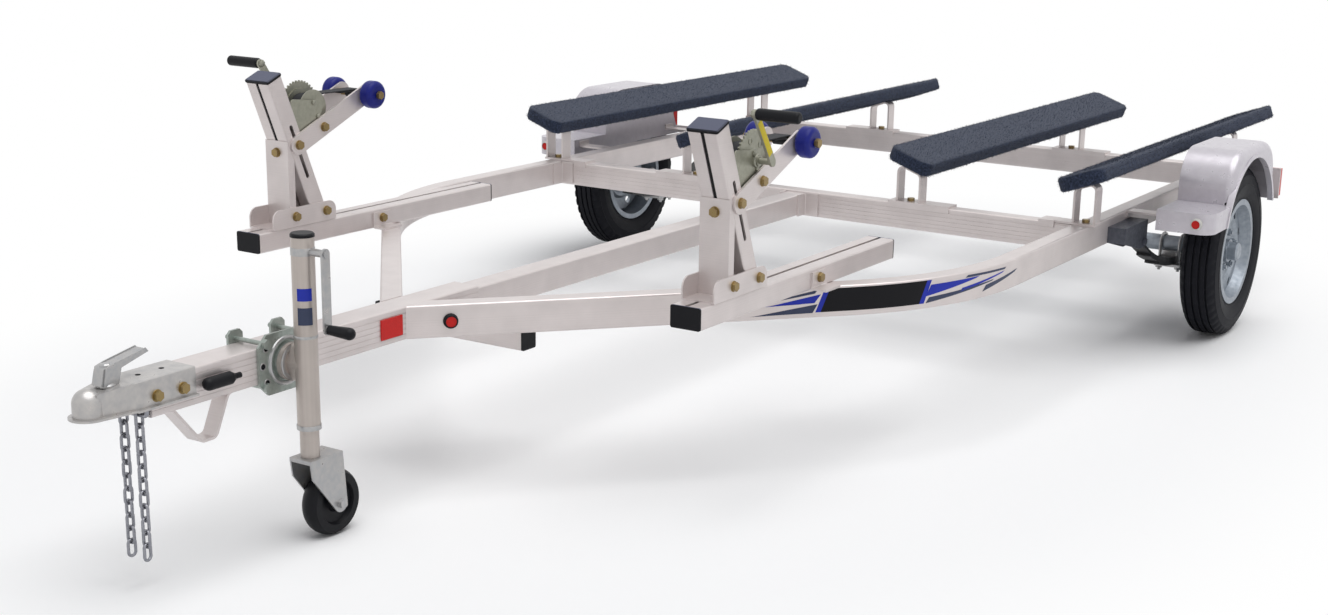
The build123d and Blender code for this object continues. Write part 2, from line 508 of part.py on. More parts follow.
spring = joined(leaves)
eyes = [AXLE_X + EYE_REACH, AXLE_X - EYE_REACH]
for x in eyes:
    spring += rod((x, spring_in, EYE_Z), (x, spring_out, EYE_Z), EYE_R)
for x in eyes:
    spring -= rod((x, spring_in, EYE_Z), (x, spring_out, EYE_Z), EYE_BOLT_R)
save("leaf_springs", *both([spring]))

# Spring hangers on the rails, with the eye bolts
hangers = []
hanger_top = FRAME_TOP - HANGER_DROP
hanger_out = spring_out + PLAY + HANGER_T
for sx, eye_x, past in ((1, eyes[0], HANGER_FRONT), (-1, eyes[1], HANGER_REAR)):
    near, far = eye_x - sx * HANGER_BACK, eye_x + sx * past
    side_view = outline((near, hanger_top), (far, hanger_top), (far, FRAME_Z + WALL),
                        (eye_x + sx * 2 * EYE_R, FRAME_Z - HANGER_LOW), (near, FRAME_Z - HANGER_LOW))
    hanger = along_y(side_view, RAIL_OUT_Y, spring_in - PLAY)
    hanger += along_y(side_view, spring_out + PLAY, hanger_out)
    hanger += box(near, far, RAIL_OUT_Y, hanger_out, hanger_top - HANGER_T, hanger_top)
    hanger += box(far - sx * HANGER_T, far, RAIL_OUT_Y, hanger_out, FRAME_Z + WALL, hanger_top)
    hanger += rod((eye_x, RAIL_OUT_Y, EYE_Z), (eye_x, hanger_out, EYE_Z), EYE_BOLT_R - PLAY)
    hanger += hex_head(eye_x, hanger_out, EYE_Z, (0, 1, 0), HEAD, HEAD_H)
    hangers.append(hanger)
save("spring_hangers", *both(hangers))

# U-bolts over the axle, clamp plates and spring seats
plate_top = leaf_top - len(LEAF_REACH) * LEAF_T
u_end = plate_top - CLAMP_T - U_BOLT_TAIL
u_x = AXLE_R + U_BOLT_R + PLAY
clamp = box(AXLE_X - CLAMP_L / 2, AXLE_X + CLAMP_L / 2, SPRING_Y - CLAMP_W / 2, SPRING_Y + CLAMP_W / 2,
            plate_top - CLAMP_T, plate_top)
for y in (SPRING_Y - U_BOLT_Y, SPRING_Y + U_BOLT_Y):
    front, rear = AXLE_X + u_x, AXLE_X - u_x
    path = Line((front, y, u_end), (front, y, TYRE_R))
    path += ThreePointArc((front, y, TYRE_R), (AXLE_X, y, TYRE_R + u_x), (rear, y, TYRE_R))
    path += Line((rear, y, TYRE_R), (rear, y, u_end))
    clamp += sweep(Plane(origin=(front, y, u_end)) * RegularPolygon(U_BOLT_R, 6), path=path)
    for x in (front, rear):
        clamp += hex_head(x, y, plate_top - CLAMP_T, (0, 0, -1), HEAD, HEAD_H)
seat = box(AXLE_X - SEAT_L / 2, AXLE_X + SEAT_L / 2, spring_in, spring_out, leaf_top, seat_top + SEAT_T)
seat -= rod((AXLE_X, spring_in, TYRE_R), (AXLE_X, spring_out, TYRE_R), AXLE_R)
seat -= spring
save("spring_clamps", *both([clamp, seat]))


# Wheels: hollow tyre with ribbed tread, pressed rim and hub
def tyre_half():
    """Outer contour of half the tyre in (radius, across), from the bead to the middle of the tread."""
    bead, half_w = RIM_W / 2, TYRE_W / 2
    belly = (TYRE_R + RIM_R) / 2
    shoulder = (TYRE_R - 2 * CARCASS, half_w - 0.6 * CARCASS)
    tread_edge = (TYRE_R - 0.2 * CARCASS, half_w - 1.8 * CARCASS)
    contour = [(RIM_SEAT_R, bead - CARCASS), (RIM_SEAT_R, bead - PLAY), (RIM_R, bead),
               (*shoulder, belly, half_w), (*tread_edge, TYRE_R - 0.8 * CARCASS, half_w - CARCASS)]
    for i in range(round(TREAD_GROOVES / 2)):
        y = (TREAD_GROOVES / 2 - 0.5 - i) * TREAD_STEP
        contour += [(TYRE_R, y + TREAD_W / 2), (TYRE_R - TREAD_D, y + TREAD_W / 3),
                    (TYRE_R - TREAD_D, y - TREAD_W / 3), (TYRE_R, y - TREAD_W / 2)]
    return contour


def flipped(contour):
    """The same contour walked back on the other side of the wheel's middle plane."""
    back = []
    for i in range(len(contour) - 1, -1, -1):
        r, y = contour[i][:2]
        arc = contour[i + 1][2:] if i + 1 < len(contour) and len(contour[i + 1]) == 4 else ()
        back.append((r, -y, arc[0], -arc[1]) if arc else (r, -y))
    return back


half = tyre_half()
hollow_w, hollow_r = TYRE_W / 2 - CARCASS, TYRE_R - TREAD_D - CARCASS
belly_r = (TYRE_R + RIM_R) / 2
inside = [(RIM_SEAT_R, -RIM_W / 2 + CARCASS), (RIM_R + CARCASS, -RIM_W / 2 + CARCASS / 2),
          (hollow_r, -hollow_w + CARCASS, belly_r, -hollow_w), (hollow_r, hollow_w - CARCASS),
          (RIM_R + CARCASS, RIM_W / 2 - CARCASS / 2, belly_r, hollow_w)]
tyre = turned(Pos(0, TRACK_Y) * arc_outline(half + flipped(half) + inside[1:]), AXLE_X, TYRE_R)

# Rim contour in (radius, across): barrel, back of the dish, front of the dish, bead seat
rim_half, seat_r, barrel_r = RIM_W / 2, RIM_SEAT_R - PLAY, RIM_SEAT_R - PLAY - RIM_T
dish_out, dish_in = HAND_HOLE_AT + DISH_W / 2, HAND_HOLE_AT - DISH_W / 2
dish_foot = dish_in - 2 * RIM_T
rim_bore, hub_face = HUB_NECK_R + PLAY, HUB_T - RIM_T
rim_points = [(RIM_R, -rim_half), (RIM_R, -rim_half - RIM_T), (barrel_r, -rim_half - RIM_T),
              (barrel_r, rim_half - 2 * HUB_T), (dish_out, HUB_T), (dish_in, HUB_T + RIM_T),
              (dish_foot, hub_face), (rim_bore, hub_face), (rim_bore, HUB_T), (dish_foot, HUB_T),
              (dish_in, HUB_T + 2 * RIM_T), (dish_out, HUB_T + RIM_T), (barrel_r - RIM_T, rim_half - HUB_T),
              (barrel_r, rim_half + RIM_T), (RIM_R, rim_half + RIM_T), (RIM_R, rim_half),
              (seat_r, rim_half - PLAY), (seat_r, PLAY - rim_half)]
rim = turned(Pos(0, TRACK_Y) * arc_outline(rim_points), AXLE_X, TYRE_R)


def ring_of(count, radius, start_a):
    """World (x, z) points round the wheel's centre."""
    return [(AXLE_X + radius * math.cos(start_a + 2 * math.pi * i / count),
             TYRE_R + radius * math.sin(start_a + 2 * math.pi * i / count)) for i in range(count)]


for x, z in ring_of(HAND_HOLES, HAND_HOLE_AT, math.pi / HAND_HOLES):
    rim -= rod((x, TRACK_Y, z), (x, TRACK_Y + RIM_W, z), HAND_HOLE_R)
spindle_end, bore_r = hub_out / 2 + PLAY, SPINDLE_R + PLAY
hub_points = [(HUB_R, hub_face - HUB_T), (HUB_R, hub_face), (HUB_NECK_R, hub_face), (HUB_NECK_R, HUB_NECK),
              (HUB_CAP_R, HUB_NECK), (HUB_CAP_R, HUB_CAP - RIM_T), (HUB_CAP_R - RIM_T, HUB_CAP), (0, HUB_CAP),
              (0, spindle_end), (bore_r, spindle_end), (bore_r, -TYRE_W / 2), (HUB_BACK_R, -TYRE_W / 2),
              (HUB_BACK_R, hub_face - HUB_T)]
hub = turned(Pos(0, TRACK_Y) * arc_outline(hub_points), AXLE_X, TYRE_R)
for x, z in ring_of(LUGS, LUG_AT, math.pi / 2):
    rim -= rod((x, TRACK_Y, z), (x, TRACK_Y + RIM_W, z), LUG_R + PLAY)
    hub += rod((x, TRACK_Y, z), (x, TRACK_Y + HUB_T + LUG_NUT, z), LUG_R)
    hub += hex_head(x, TRACK_Y + HUB_T, z, (0, 1, 0), LUG_NUT, LUG_NUT_H)
for name, shape in (("tyre", tyre), ("rim", rim), ("hub", hub)):
    save(f"{name}_left", shape)
    save(f"{name}_right", other_side(shape))


# Fenders: moulded dome over the wheel, step in front, rolled lip round the opening
def dome_body(inset, low):
    """Dome of the fender, drawn in by inset on all sides and open below."""
    side_view = outline((DOME_FRONT - inset, low), (DOME_FRONT - inset, DOME_TOP - inset),
                        (DOME_REAR + inset, DOME_TOP - inset), (DOME_REAR + inset, DOME_TOP - DOME_CORNER),
                        (TAIL_X + inset, TAIL_LOW), (TAIL_X + inset, low))
    side_view = fillet(side_view.vertices().group_by(Axis.Y)[-1], DOME_CORNER - inset)
    body = along_y(side_view, FENDER_IN + inset, FENDER_OUT - inset)
    outer_edges = body.faces().sort_by(Axis.Y)[-1].edges()
    return fillet([e for e in outer_edges if e.center().Z > low + 1], DOME_EDGE - inset)


def step_body(inset, low):
    """Step in front of the dome, drawn in by inset and open below."""
    plan = outline((DOME_FRONT - DOME_EDGE, FENDER_IN + inset), (STEP_X - inset, FENDER_IN + inset),
                   (STEP_X - inset, FENDER_OUT - inset), (DOME_FRONT - DOME_EDGE, FENDER_OUT - inset))
    corner = plan.vertices().group_by(Axis.X)[-1].sort_by(Axis.Y)[-1]
    return along_z(fillet(corner, STEP_CORNER - inset), low, STEP_TOP - inset)


fender_low = STEP_LOW - TUBE
fender = dome_body(0, fender_low) + step_body(0, fender_low)
fender -= dome_body(FENDER_T, fender_low - FENDER_T) + step_body(FENDER_T, fender_low - FENDER_T)
fender -= along_y(Pos(0, ARCH_Z) * Circle(ARCH_R), FENDER_OUT - DOME_EDGE, FENDER_OUT + FENDER_T)
lip_ring = Pos(0, ARCH_Z) * (Circle(ARCH_R + LIP_W) - Circle(ARCH_R))
fender += along_y(lip_ring, FENDER_OUT - LIP_DEEP, FENDER_OUT + LIP_PROUD)
keep = outline((STEP_X, STEP_LOW), (STEP_X, DOME_TOP), (TAIL_X, DOME_TOP), (TAIL_X, TAIL_LOW), (0, TAIL_LOW),
               (ARCH_R / 2, STEP_LOW))
fender = fender & along_y(keep, FENDER_IN, FENDER_OUT + LIP_PROUD)
fender = fender.solids().sort_by(SortBy.VOLUME)[-1]
save("fender_left", fender)
save("fender_right", other_side(fender))

# Fender brackets: Z-bent straps from the rail to the fender's inner wall
fender_arms = []
arm_z = (hanger_top + STEP_TOP) / 2
for x in FENDER_ARM_X:
    t, rise = FENDER_ARM_T, (STEP_TOP - hanger_top) / 2 - FENDER_ARM_T
    z_path = [(RAIL_OUT_Y + t / 2, arm_z - rise), (RAIL_OUT_Y + t / 2, arm_z), (FENDER_IN - t / 2, arm_z),
              (FENDER_IN - t / 2, arm_z + rise)]
    fender_arms.append(along_x(strip(z_path, t, t), x - FENDER_ARM_L / 2, x + FENDER_ARM_L / 2))
save("fender_brackets", *both(fender_arms))

# Tail lamps on plates behind the fenders
lamp_y = FENDER_OUT - FENDER_T
plate = box(LAMP_X, LAMP_X + LAMP_PLATE_T, lamp_y - LAMP_IN, lamp_y, LAMP_Z0, LAMP_Z1)
plate += box(LAMP_X, LAMP_X + LAMP_PLATE_T, RAIL_OUT_Y, lamp_y, LAMP_Z0, LAMP_Z0 + LAMP_ARM_H)
plate += box(LAMP_X, LAMP_X + LAMP_FOOT, RAIL_OUT_Y, RAIL_OUT_Y + LAMP_PLATE_T, LAMP_Z0, LAMP_Z0 + LAMP_ARM_H)
save("lamp_brackets", *both([plate]))
lens = box(LAMP_X - LAMP_DEEP, LAMP_X, lamp_y - LAMP_IN + LAMP_PLATE_T, lamp_y - LAMP_PLATE_T,
           LAMP_Z0 + LAMP_PLATE_T, LAMP_Z1 - LAMP_PLATE_T)
lens = fillet(lens.faces().sort_by(Axis.X)[0].edges(), LAMP_PLATE_T)
save("tail_lamps", *both([lens]))

# Small marker lamps on the steps and diagonals, and a reflector on each side of the tongue
marker_y, marker_z = FENDER_OUT - STEP_CORNER, (STEP_TOP + STEP_LOW) / 2
marks = [rod((STEP_X, marker_y, marker_z), (STEP_X + MARKER_H, marker_y, marker_z), MARKER_R)]
seat_x, seat_y = DIAG_A[0] + MARKER_BACK * diag_x, DIAG_A[1] + MARKER_BACK * diag_y
proud_x, proud_y = seat_x + diag_y * MARKER_H, seat_y - diag_x * MARKER_H
marks.append(rod((seat_x, seat_y, MID_Z), (proud_x, proud_y, MID_Z), MARKER_R))
marks.append(box(REFLECTOR_X, REFLECTOR_X + REFLECTOR_L, w, w + REFLECTOR_T, MID_Z - REFLECTOR_H / 2,
                 MID_Z + REFLECTOR_H / 2))
save("marker_lamps", *both(marks))

# Plastic end caps
rail_end = RectangleRounded(RAIL_W, TUBE, CORNER_R)
wrail_end = Pos(SKI_Y, FRAME_TOP + WRAIL_H / 2) * RectangleRounded(TUBE, WRAIL_H, CORNER_R)
spread_end = Pos(SPREAD_X + RAIL_W / 2, FRAME_Z - RAIL_W / 2) * RectangleRounded(RAIL_W, RAIL_W, CORNER_R)
post_end = RectangleRounded(TUBE + 2 * POST_CAP_LAP, RAIL_W + 2 * POST_CAP_LAP, CORNER_R)
post_cap = up_post(post_end, post_high, post_len)
caps = [along_y(spread_end, SPREAD_Y, SPREAD_Y + CAP_T),
        along_x(Pos(rail_y, MID_Z) * rail_end, RAIL_REAR - CAP_T, RAIL_REAR),
        along_x(wrail_end, WRAIL_X1, WRAIL_X1 + CAP_T), along_x(wrail_end, WRAIL_X0 - CAP_T, WRAIL_X0),
        chamfer(post_cap.faces().sort_by(Axis.Z)[-1].edges(), POST_CAP_H / 4)]
save("end_caps", *both(caps))

# Coupler: cheeks over the tongue, tapered neck, ball socket and flared lip
cheek_y, coupler_top = w + SHEET, FRAME_TOP + SHEET
coupler = box(COUPLER_REAR, NECK_X, -cheek_y, cheek_y, COUPLER_LOW, coupler_top)
coupler -= box(COUPLER_REAR, NECK_X, -w, w, COUPLER_LOW, FRAME_TOP)


def neck(inset, low):
    """Tapered body between the cheeks and the ball socket."""
    rear_h, rear_w = coupler_top - inset - low, 2 * (cheek_y - inset)
    front_h = BALL_Z + NECK_H / 2 - inset - low
    rear = Pos(0, low + rear_h / 2) * Rectangle(rear_w, rear_h)
    front = Pos(0, low + front_h / 2) * Rectangle(NECK_W - 2 * inset, front_h)
    planes = [Plane(origin=(x, 0, 0), x_dir=(0, 1, 0), z_dir=(1, 0, 0)) for x in (NECK_X, BALL_X)]
    return loft([planes[0] * rear, planes[1] * front])


socket_r = BALL_R + BALL_WALL
ball_axis = ((BALL_X, 0, NOSE_LOW), (BALL_X, 0, BALL_Z))
nose_block = neck(0, NOSE_LOW) + rod(*ball_axis, socket_r) + Pos(BALL_X, 0, BALL_Z) * Sphere(socket_r)
nose = nose_block
lip_plan = rounded((BALL_X, 0, socket_r + LIP_FLARE), (NECK_X, cheek_y, LIP_FLARE),
                   (NECK_X, -cheek_y, LIP_FLARE))
lip_plan -= Pos(NECK_X - LIP_FLARE, 0) * Rectangle(2 * LIP_FLARE, 4 * cheek_y)
nose += along_z(lip_plan, NOSE_LOW, NOSE_LOW + LIP_T)
nose -= neck(SHEET, NOSE_LOW - LIP_T) - rod((BALL_X, 0, NOSE_LOW - LIP_T), (BALL_X, 0, coupler_top), socket_r)
nose -= rod((BALL_X, 0, NOSE_LOW - LIP_T), (BALL_X, 0, BALL_Z), BALL_R)
nose -= Pos(BALL_X, 0, BALL_Z) * Sphere(BALL_R)
coupler += nose
for side in (1, -1):
    coupler += box(COUPLER_REAR, NECK_X, side * w, side * (cheek_y + LIP_FLARE), NOSE_LOW - LIP_T / 2,
                   NOSE_LOW + LIP_T / 2)
coupler = fillet([e for e in coupler.edges().filter_by(Axis.X)
                  if e.center().Z > coupler_top - 1 and abs(e.center().Y) > w], SHEET)
save("coupler", coupler)

# Latch: bent lever on its pivot post
lever = strip([(x, coupler_top + z) for x, z in LATCH], LATCH_BEND, LATCH_T)
latch_low = BALL_Z
latch = along_y(lever, -LATCH_W / 2, LATCH_W / 2)
latch += rod((LATCH_POST_X, 0, latch_low), (LATCH_POST_X, 0, coupler_top + LATCH_POST_H), LATCH_POST_R)
latch = (latch - nose_block).solids().sort_by(SortBy.VOLUME)[-1]
save("coupler_latch", latch)

# Safety chains on a bent rod under the coupler
flange_low = NOSE_LOW - LIP_T / 2
hook_y = cheek_y + LIP_FLARE - HOOK_R


def link_ring(half_w, half_l, cut):
    """Eight-sided ring outline."""
    face = Rectangle(2 * half_w, 2 * half_l)
    return chamfer(face.vertices(), cut)


link_face = link_ring(LINK_W / 2, LINK_IN / 2 + LINK_D, LINK_CUT)
link_face -= link_ring(LINK_W / 2 - LINK_D, LINK_IN / 2, LINK_IN_CUT)
hook_path = Polyline((CHAIN_X, hook_y, flange_low), (CHAIN_X, hook_y, HOOK_Z), (CHAIN_X, -hook_y, HOOK_Z),
                     (CHAIN_X, -hook_y, flange_low))
hook = sweep(Plane(origin=(CHAIN_X, hook_y, flange_low)) * RegularPolygon(HOOK_R, 8, major_radius=False),
             path=hook_path, transition=Transition.RIGHT)
first_z = HOOK_Z + HOOK_R + PLAY - LINK_IN / 2
links = []
for y in (CHAIN_Y, -CHAIN_Y):
    for i in range(CHAIN_LINKS):
        z = first_z - (LINK_IN - PLAY) * i
        if i % 2:
            links.append(along_x(Pos(y, z) * link_face, CHAIN_X - LINK_D / 2, CHAIN_X + LINK_D / 2))
        else:
            links.append(along_y(Pos(CHAIN_X, z) * link_face, y - LINK_D / 2, y + LINK_D / 2))
save("safety_chains", hook, *links)

# Bent strap loop under the tongue
loop = strip([(x, FRAME_Z - LOOP_T / 2 - drop) for x, drop in LOOP], LOOP_BEND, LOOP_T)
save("tongue_loop", along_y(loop, -LOOP_W / 2, LOOP_W / 2))

# Wiring plug in its boot, clipped to the tongue's side
plug_y = w + PLUG_R + PLUG_CLIP
boot = arc_outline([(PLUG_X0, 0), (PLUG_X0, PLUG_TAIL_R), (PLUG_X0 + PLUG_R, PLUG_TAIL_R),
                    (PLUG_X0 + 2 * PLUG_R, PLUG_R), (PLUG_X1 - PLUG_R, PLUG_R),
                    (PLUG_X1, 0, PLUG_X1 - PLUG_R + S45 * PLUG_R, S45 * PLUG_R)])
plug_axis = Axis((0, plug_y, PLUG_Z), (1, 0, 0))
plug = revolve(Plane(origin=(0, plug_y, PLUG_Z)) * boot, axis=plug_axis)
plug_mid = (PLUG_X0 + PLUG_X1) / 2
plug += box(plug_mid - PLUG_R, plug_mid + PLUG_R, w, plug_y, PLUG_Z - PLUG_TAIL_R, PLUG_Z + PLUG_TAIL_R)
save("wiring_plug", plug)

# Jack: clamp on the tongue, with a round pivot and two cleats behind
plate_face = w + PLATE_T
pivot_face = plate_face + PIVOT_T
plate = chamfer((Pos(JACK_X, MID_Z) * Rectangle(PLATE_L, PLATE_H)).vertices(), PLATE_CUT)
mount = along_y(plate, w, plate_face) + rod((JACK_X, plate_face, MID_Z), (JACK_X, pivot_face, MID_Z), PIVOT_R)
for sx in (1, -1):
    x = JACK_X + sx * CLAMP_BOLT_X
    cleat = chamfer((Pos(x, MID_Z) * Rectangle(CLEAT_W, PLATE_H)).vertices(), PLATE_CUT / 3)
    mount += along_y(cleat, -plate_face, -w)
    for sz in (1, -1):
        z = MID_Z + sz * CLAMP_BOLT_Z
        mount += rod((x, -plate_face - HEAD, z), (x, plate_face, z), CLAMP_BOLT_R)
        mount += hex_head(x, plate_face, z, (0, 1, 0), HEAD, HEAD_H)
        mount += hex_head(x, -plate_face, z, (0, -1, 0), HEAD, HEAD_H)
save("jack_mount", mount)

# Jack tube on its own pivot disc, with the cap
disc_in = pivot_face + PIVOT_GAP
tube = rod((JACK_X, JACK_Y, JACK_END), (JACK_X, JACK_Y, JACK_TOP - JACK_CAP_H), JACK_R)
tube += rod((JACK_X, disc_in, MID_Z), (JACK_X, disc_in + PIVOT_T, MID_Z), PIVOT_R)
s, reach = JACK_R / 2, PIVOT_R - JACK_R / 2
saddle = rounded((JACK_X, MID_Z + reach, s), (JACK_X, MID_Z - reach, s),
                 (JACK_X - s, MID_Z, s), (JACK_X + s, MID_Z, s))
tube += along_y(saddle, disc_in + PIVOT_T, JACK_Y)
bore_r = JACK_R - JACK_WALL
tube -= rod((JACK_X, JACK_Y, JACK_END), (JACK_X, JACK_Y, JACK_TOP - 2 * JACK_CAP_H), bore_r)
save("jack_tube", tube)
cap = rod((JACK_X, JACK_Y, JACK_TOP - JACK_CAP_H), (JACK_X, JACK_Y, JACK_TOP), JACK_R + JACK_CAP_LAP)
save("jack_cap", chamfer(cap.edges().group_by(Axis.Z)[-1], JACK_CAP_H / 3))

# Jack crank: boss on the tube, hanging arm and a tapered grip
arm_y = JACK_Y + JACK_ARM_OUT
boss_y = arm_y + JACK_BOSS_R
crank = rod((JACK_X, JACK_Y, JACK_CRANK_Z), (JACK_X, boss_y, JACK_CRANK_Z), JACK_BOSS_R)
crank += along_y(rounded((JACK_X, JACK_CRANK_Z, JACK_EYE_R), (JACK_X, JACK_HAND_Z, JACK_EYE_R)),
                 arm_y, arm_y + JACK_CRANK_R)
crank += rod((JACK_X, arm_y, JACK_HAND_Z), (JACK_X, boss_y, JACK_HAND_Z), JACK_BOSS_R)
crank -= rod((JACK_X, JACK_Y, JACK_HAND_Z), (JACK_X, JACK_Y, JACK_TOP), JACK_R)
save("jack_crank", crank)
grip_end = boss_y + JACK_GRIP_L
grip = arc_outline([(0, boss_y), (JACK_GRIP_NECK, boss_y), (JACK_GRIP_R, grip_end - JACK_GRIP_R),
                    (0, grip_end, S45 * JACK_GRIP_R, grip_end - (1 - S45) * JACK_GRIP_R)])
save("jack_grip", turned(grip, JACK_X, JACK_HAND_Z))

# Sliding leg and the swivelling caster
leg_tube = rod((JACK_X, JACK_Y, LEG_END), (JACK_X, JACK_Y, LEG_END + LEG_L), JACK_LEG_R)
leg_tube -= rod((JACK_X, JACK_Y, LEG_END + JACK_LEG_WALL), (JACK_X, JACK_Y, LEG_END + LEG_L),
                JACK_LEG_R - JACK_LEG_WALL)
save("jack_leg", leg_tube)
wheel_x = JACK_X - CASTER_TRAIL
fork_in, fork_out = CASTER_W / 2 + FORK_GAP, CASTER_W / 2 + FORK_GAP + FORK_T
fork_top = LEG_END - PIVOT_GAP
fork_front, fork_rear = JACK_X + FORK_FRONT, wheel_x - FORK_CORNER
fork = box(fork_rear, fork_front, JACK_Y - fork_out, JACK_Y + fork_out, fork_top - FORK_TOP_T, fork_top)
c = FORK_CORNER / 2
fork_side = rounded((fork_front - c, fork_top - c, c), (fork_rear + c, fork_top - c, c),
                    (fork_front - FORK_CORNER, fork_top - FORK_CHIN, c), (wheel_x, CASTER_R, FORK_EAR))
for side in (1, -1):
    fork += along_y(fork_side, JACK_Y + side * fork_in, JACK_Y + side * fork_out)
fork += rod((wheel_x, JACK_Y - fork_out, CASTER_R), (wheel_x, JACK_Y + fork_out, CASTER_R), PIN_R)
for side in (1, -1):
    fork += hex_head(wheel_x, JACK_Y + side * fork_out, CASTER_R, (0, side, 0), HEAD, HEAD_H)
save("caster_fork", fork)

half_w, tread_r = CASTER_W / 2, CASTER_R - CASTER_DISH
dish_r, hub_r, bore_r = tread_r - 2 * CASTER_DISH, CASTER_HUB_R, PIN_R + 2 * PLAY
caster = [(tread_r, -half_w), (tread_r, half_w, CASTER_R, 0), (dish_r, half_w),
          (dish_r - CASTER_DISH / 2, half_w - CASTER_DISH), (hub_r + CASTER_DISH / 2, half_w - CASTER_DISH),
          (hub_r, half_w), (bore_r, half_w), (bore_r, -half_w), (hub_r, -half_w),
          (hub_r + CASTER_DISH / 2, CASTER_DISH - half_w), (dish_r - CASTER_DISH / 2, CASTER_DISH - half_w),
          (dish_r, -half_w)]
save("caster_wheel", turned(Pos(0, JACK_Y) * arc_outline(caster), wheel_x, CASTER_R))

# Bolt heads that show: place and axis of each on the left side
heads = [(x, cheek_y, COUPLER_BOLT_Z, (0, 1, 0)) for x in COUPLER_BOLTS]
for side in (1, -1):
    heads += [(x, SKI_Y + side * (w + ARM_T), z, (0, side, 0)) for x, z in (ARM_PIVOT, ARM_MID)]
    heads += [(x, SKI_Y + side * (w + BASE_T), BASE_BOLT_Z, (0, side, 0)) for x in BASE_BOLTS]
heads.append((LEG_X, SKI_Y, LEG_BOLT_Z, (1, 0, 0)))
for side, x in ((1, CLIP_OUT_X), (-1, CLIP_IN_X)):
    heads.append((x, SKI_Y + side * (w + CLIP_T), FRAME_TOP + CLIP_BOLT_UP, (0, side, 0)))
for x in bracket_x.values():
    heads += [(x, y, FRAME_TOP + FOOT_T, (0, 0, 1)) for y in bracket_bolts]
save("bolt_heads", *both([hex_head(x, y, z, axis, HEAD, HEAD_H) for x, y, z, axis in heads]))
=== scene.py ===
"""Dresses the two-place watercraft trailer: finishes, fittings, studio floor and camera.

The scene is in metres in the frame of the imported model: X forward along the tongue, Y to the left
wheel, Z up from the ground. Places and small sizes are written in millimetres in the part's own datum,
and at() makes points of the scene from them.
"""
import json
import math
import random

import bmesh
import bpy
from mathutils import Matrix, Vector, noise


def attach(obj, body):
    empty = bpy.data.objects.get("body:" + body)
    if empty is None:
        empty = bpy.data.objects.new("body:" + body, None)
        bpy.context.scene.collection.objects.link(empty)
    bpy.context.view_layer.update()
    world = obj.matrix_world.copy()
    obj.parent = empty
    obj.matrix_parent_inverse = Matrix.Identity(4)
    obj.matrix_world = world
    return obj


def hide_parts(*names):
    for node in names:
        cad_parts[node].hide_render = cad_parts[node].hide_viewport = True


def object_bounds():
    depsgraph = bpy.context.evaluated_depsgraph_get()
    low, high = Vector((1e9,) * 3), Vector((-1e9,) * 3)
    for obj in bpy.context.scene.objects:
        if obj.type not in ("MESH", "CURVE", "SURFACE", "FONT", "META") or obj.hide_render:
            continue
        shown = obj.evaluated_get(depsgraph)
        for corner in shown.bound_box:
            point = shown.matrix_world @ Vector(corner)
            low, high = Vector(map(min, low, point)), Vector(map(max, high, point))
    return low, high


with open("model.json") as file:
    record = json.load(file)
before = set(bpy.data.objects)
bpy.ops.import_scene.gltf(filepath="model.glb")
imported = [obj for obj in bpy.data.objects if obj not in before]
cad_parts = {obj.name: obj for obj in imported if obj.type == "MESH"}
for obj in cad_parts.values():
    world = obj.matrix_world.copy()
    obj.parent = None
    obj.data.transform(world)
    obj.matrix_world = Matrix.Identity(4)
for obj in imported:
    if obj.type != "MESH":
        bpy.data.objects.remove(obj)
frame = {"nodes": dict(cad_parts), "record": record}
CAD_BOX = [list(corner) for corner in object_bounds()]
MM = 0.001

# Places of the model, in millimetres
DATUM_X = 1185.0                      # the part's own datum lies this far behind the trailer's middle
SKI_Y = 649.0                         # centreline of one watercraft place
TONGUE_MID = 383.1                    # height of the tongue's middle
COUPLER_TOP = 424.2                   # height of the coupler's top face
HOOK_X, HOOK_Z, HOOK_R = 3268.0, 354.0, 4.4       # foot of the chains' hook, and its bar's radius
JACK_X, JACK_Y, JACK_R = 2897.0, 100.0, 24.0      # axis and radius of the jack's tube
WHEEL_X, WHEEL_Y, WHEEL_Z = -30.0, 1120.0, 260.0  # middle of the left road wheel
DRUM = Vector((2103.0, 762.0))        # X and Z of the winch drums
CRANK_END = Vector((2180.0, 875.0))   # X and Z of the crank grips
ROLLER_PIN = Vector((1925.0, 784.0))  # X and Z of the bow rollers' pin
SIDES = {"left": 1, "right": -1}

bl_info = {
    "name": "Watercraft Trailer Dressing",
    "version": (1, 0, 0),
    "blender": (4, 5, 0),
    "location": "View3D > Sidebar > Trailer",
    "description": "Finishes and fittings for a two-place aluminium watercraft trailer",
    "category": "Object",
}


def linear(hex_colour):
    """The linear RGBA of an sRGB hex colour such as #C8C2BE."""
    steps = [int(hex_colour[i:i + 2], 16) / 255 for i in (1, 3, 5)]
    return [s / 12.92 if s <= 0.04045 else ((s + 0.055) / 1.055) ** 2.4 for s in steps] + [1.0]


def toned(hex_colour, share, lift=0.0):
    """A darker or paler linear RGBA of an sRGB hex colour."""
    return [min(1.0, c * share + lift) for c in linear(hex_colour)[:3]] + [1.0]


def add_node(tree, kind, settings=None, links=None):
    """Add one shader node, set its inputs and properties, and link its inputs to outputs."""
    node = tree.nodes.new(kind)
    for key, value in (settings or {}).items():
        if isinstance(key, int) or key in node.inputs:
            node.inputs[key].default_value = value
        else:
            setattr(node, key, value)
    for key, output in (links or {}).items():
        tree.links.new(output, node.inputs[key])
    return node


def new_material(name, metallic=0.0):
    """An empty node material, its tree, its shader and its object coordinates in metres."""
    material = bpy.data.materials.new(name)
    material.use_nodes = True
    tree = material.node_tree
    tree.nodes.clear()
    shader = add_node(tree, "ShaderNodeBsdfPrincipled", {"Metallic": metallic})
    add_node(tree, "ShaderNodeOutputMaterial", links={"Surface": shader.outputs["BSDF"]})
    place = add_node(tree, "ShaderNodeTexCoord").outputs["Object"]
    return material, tree, shader, place


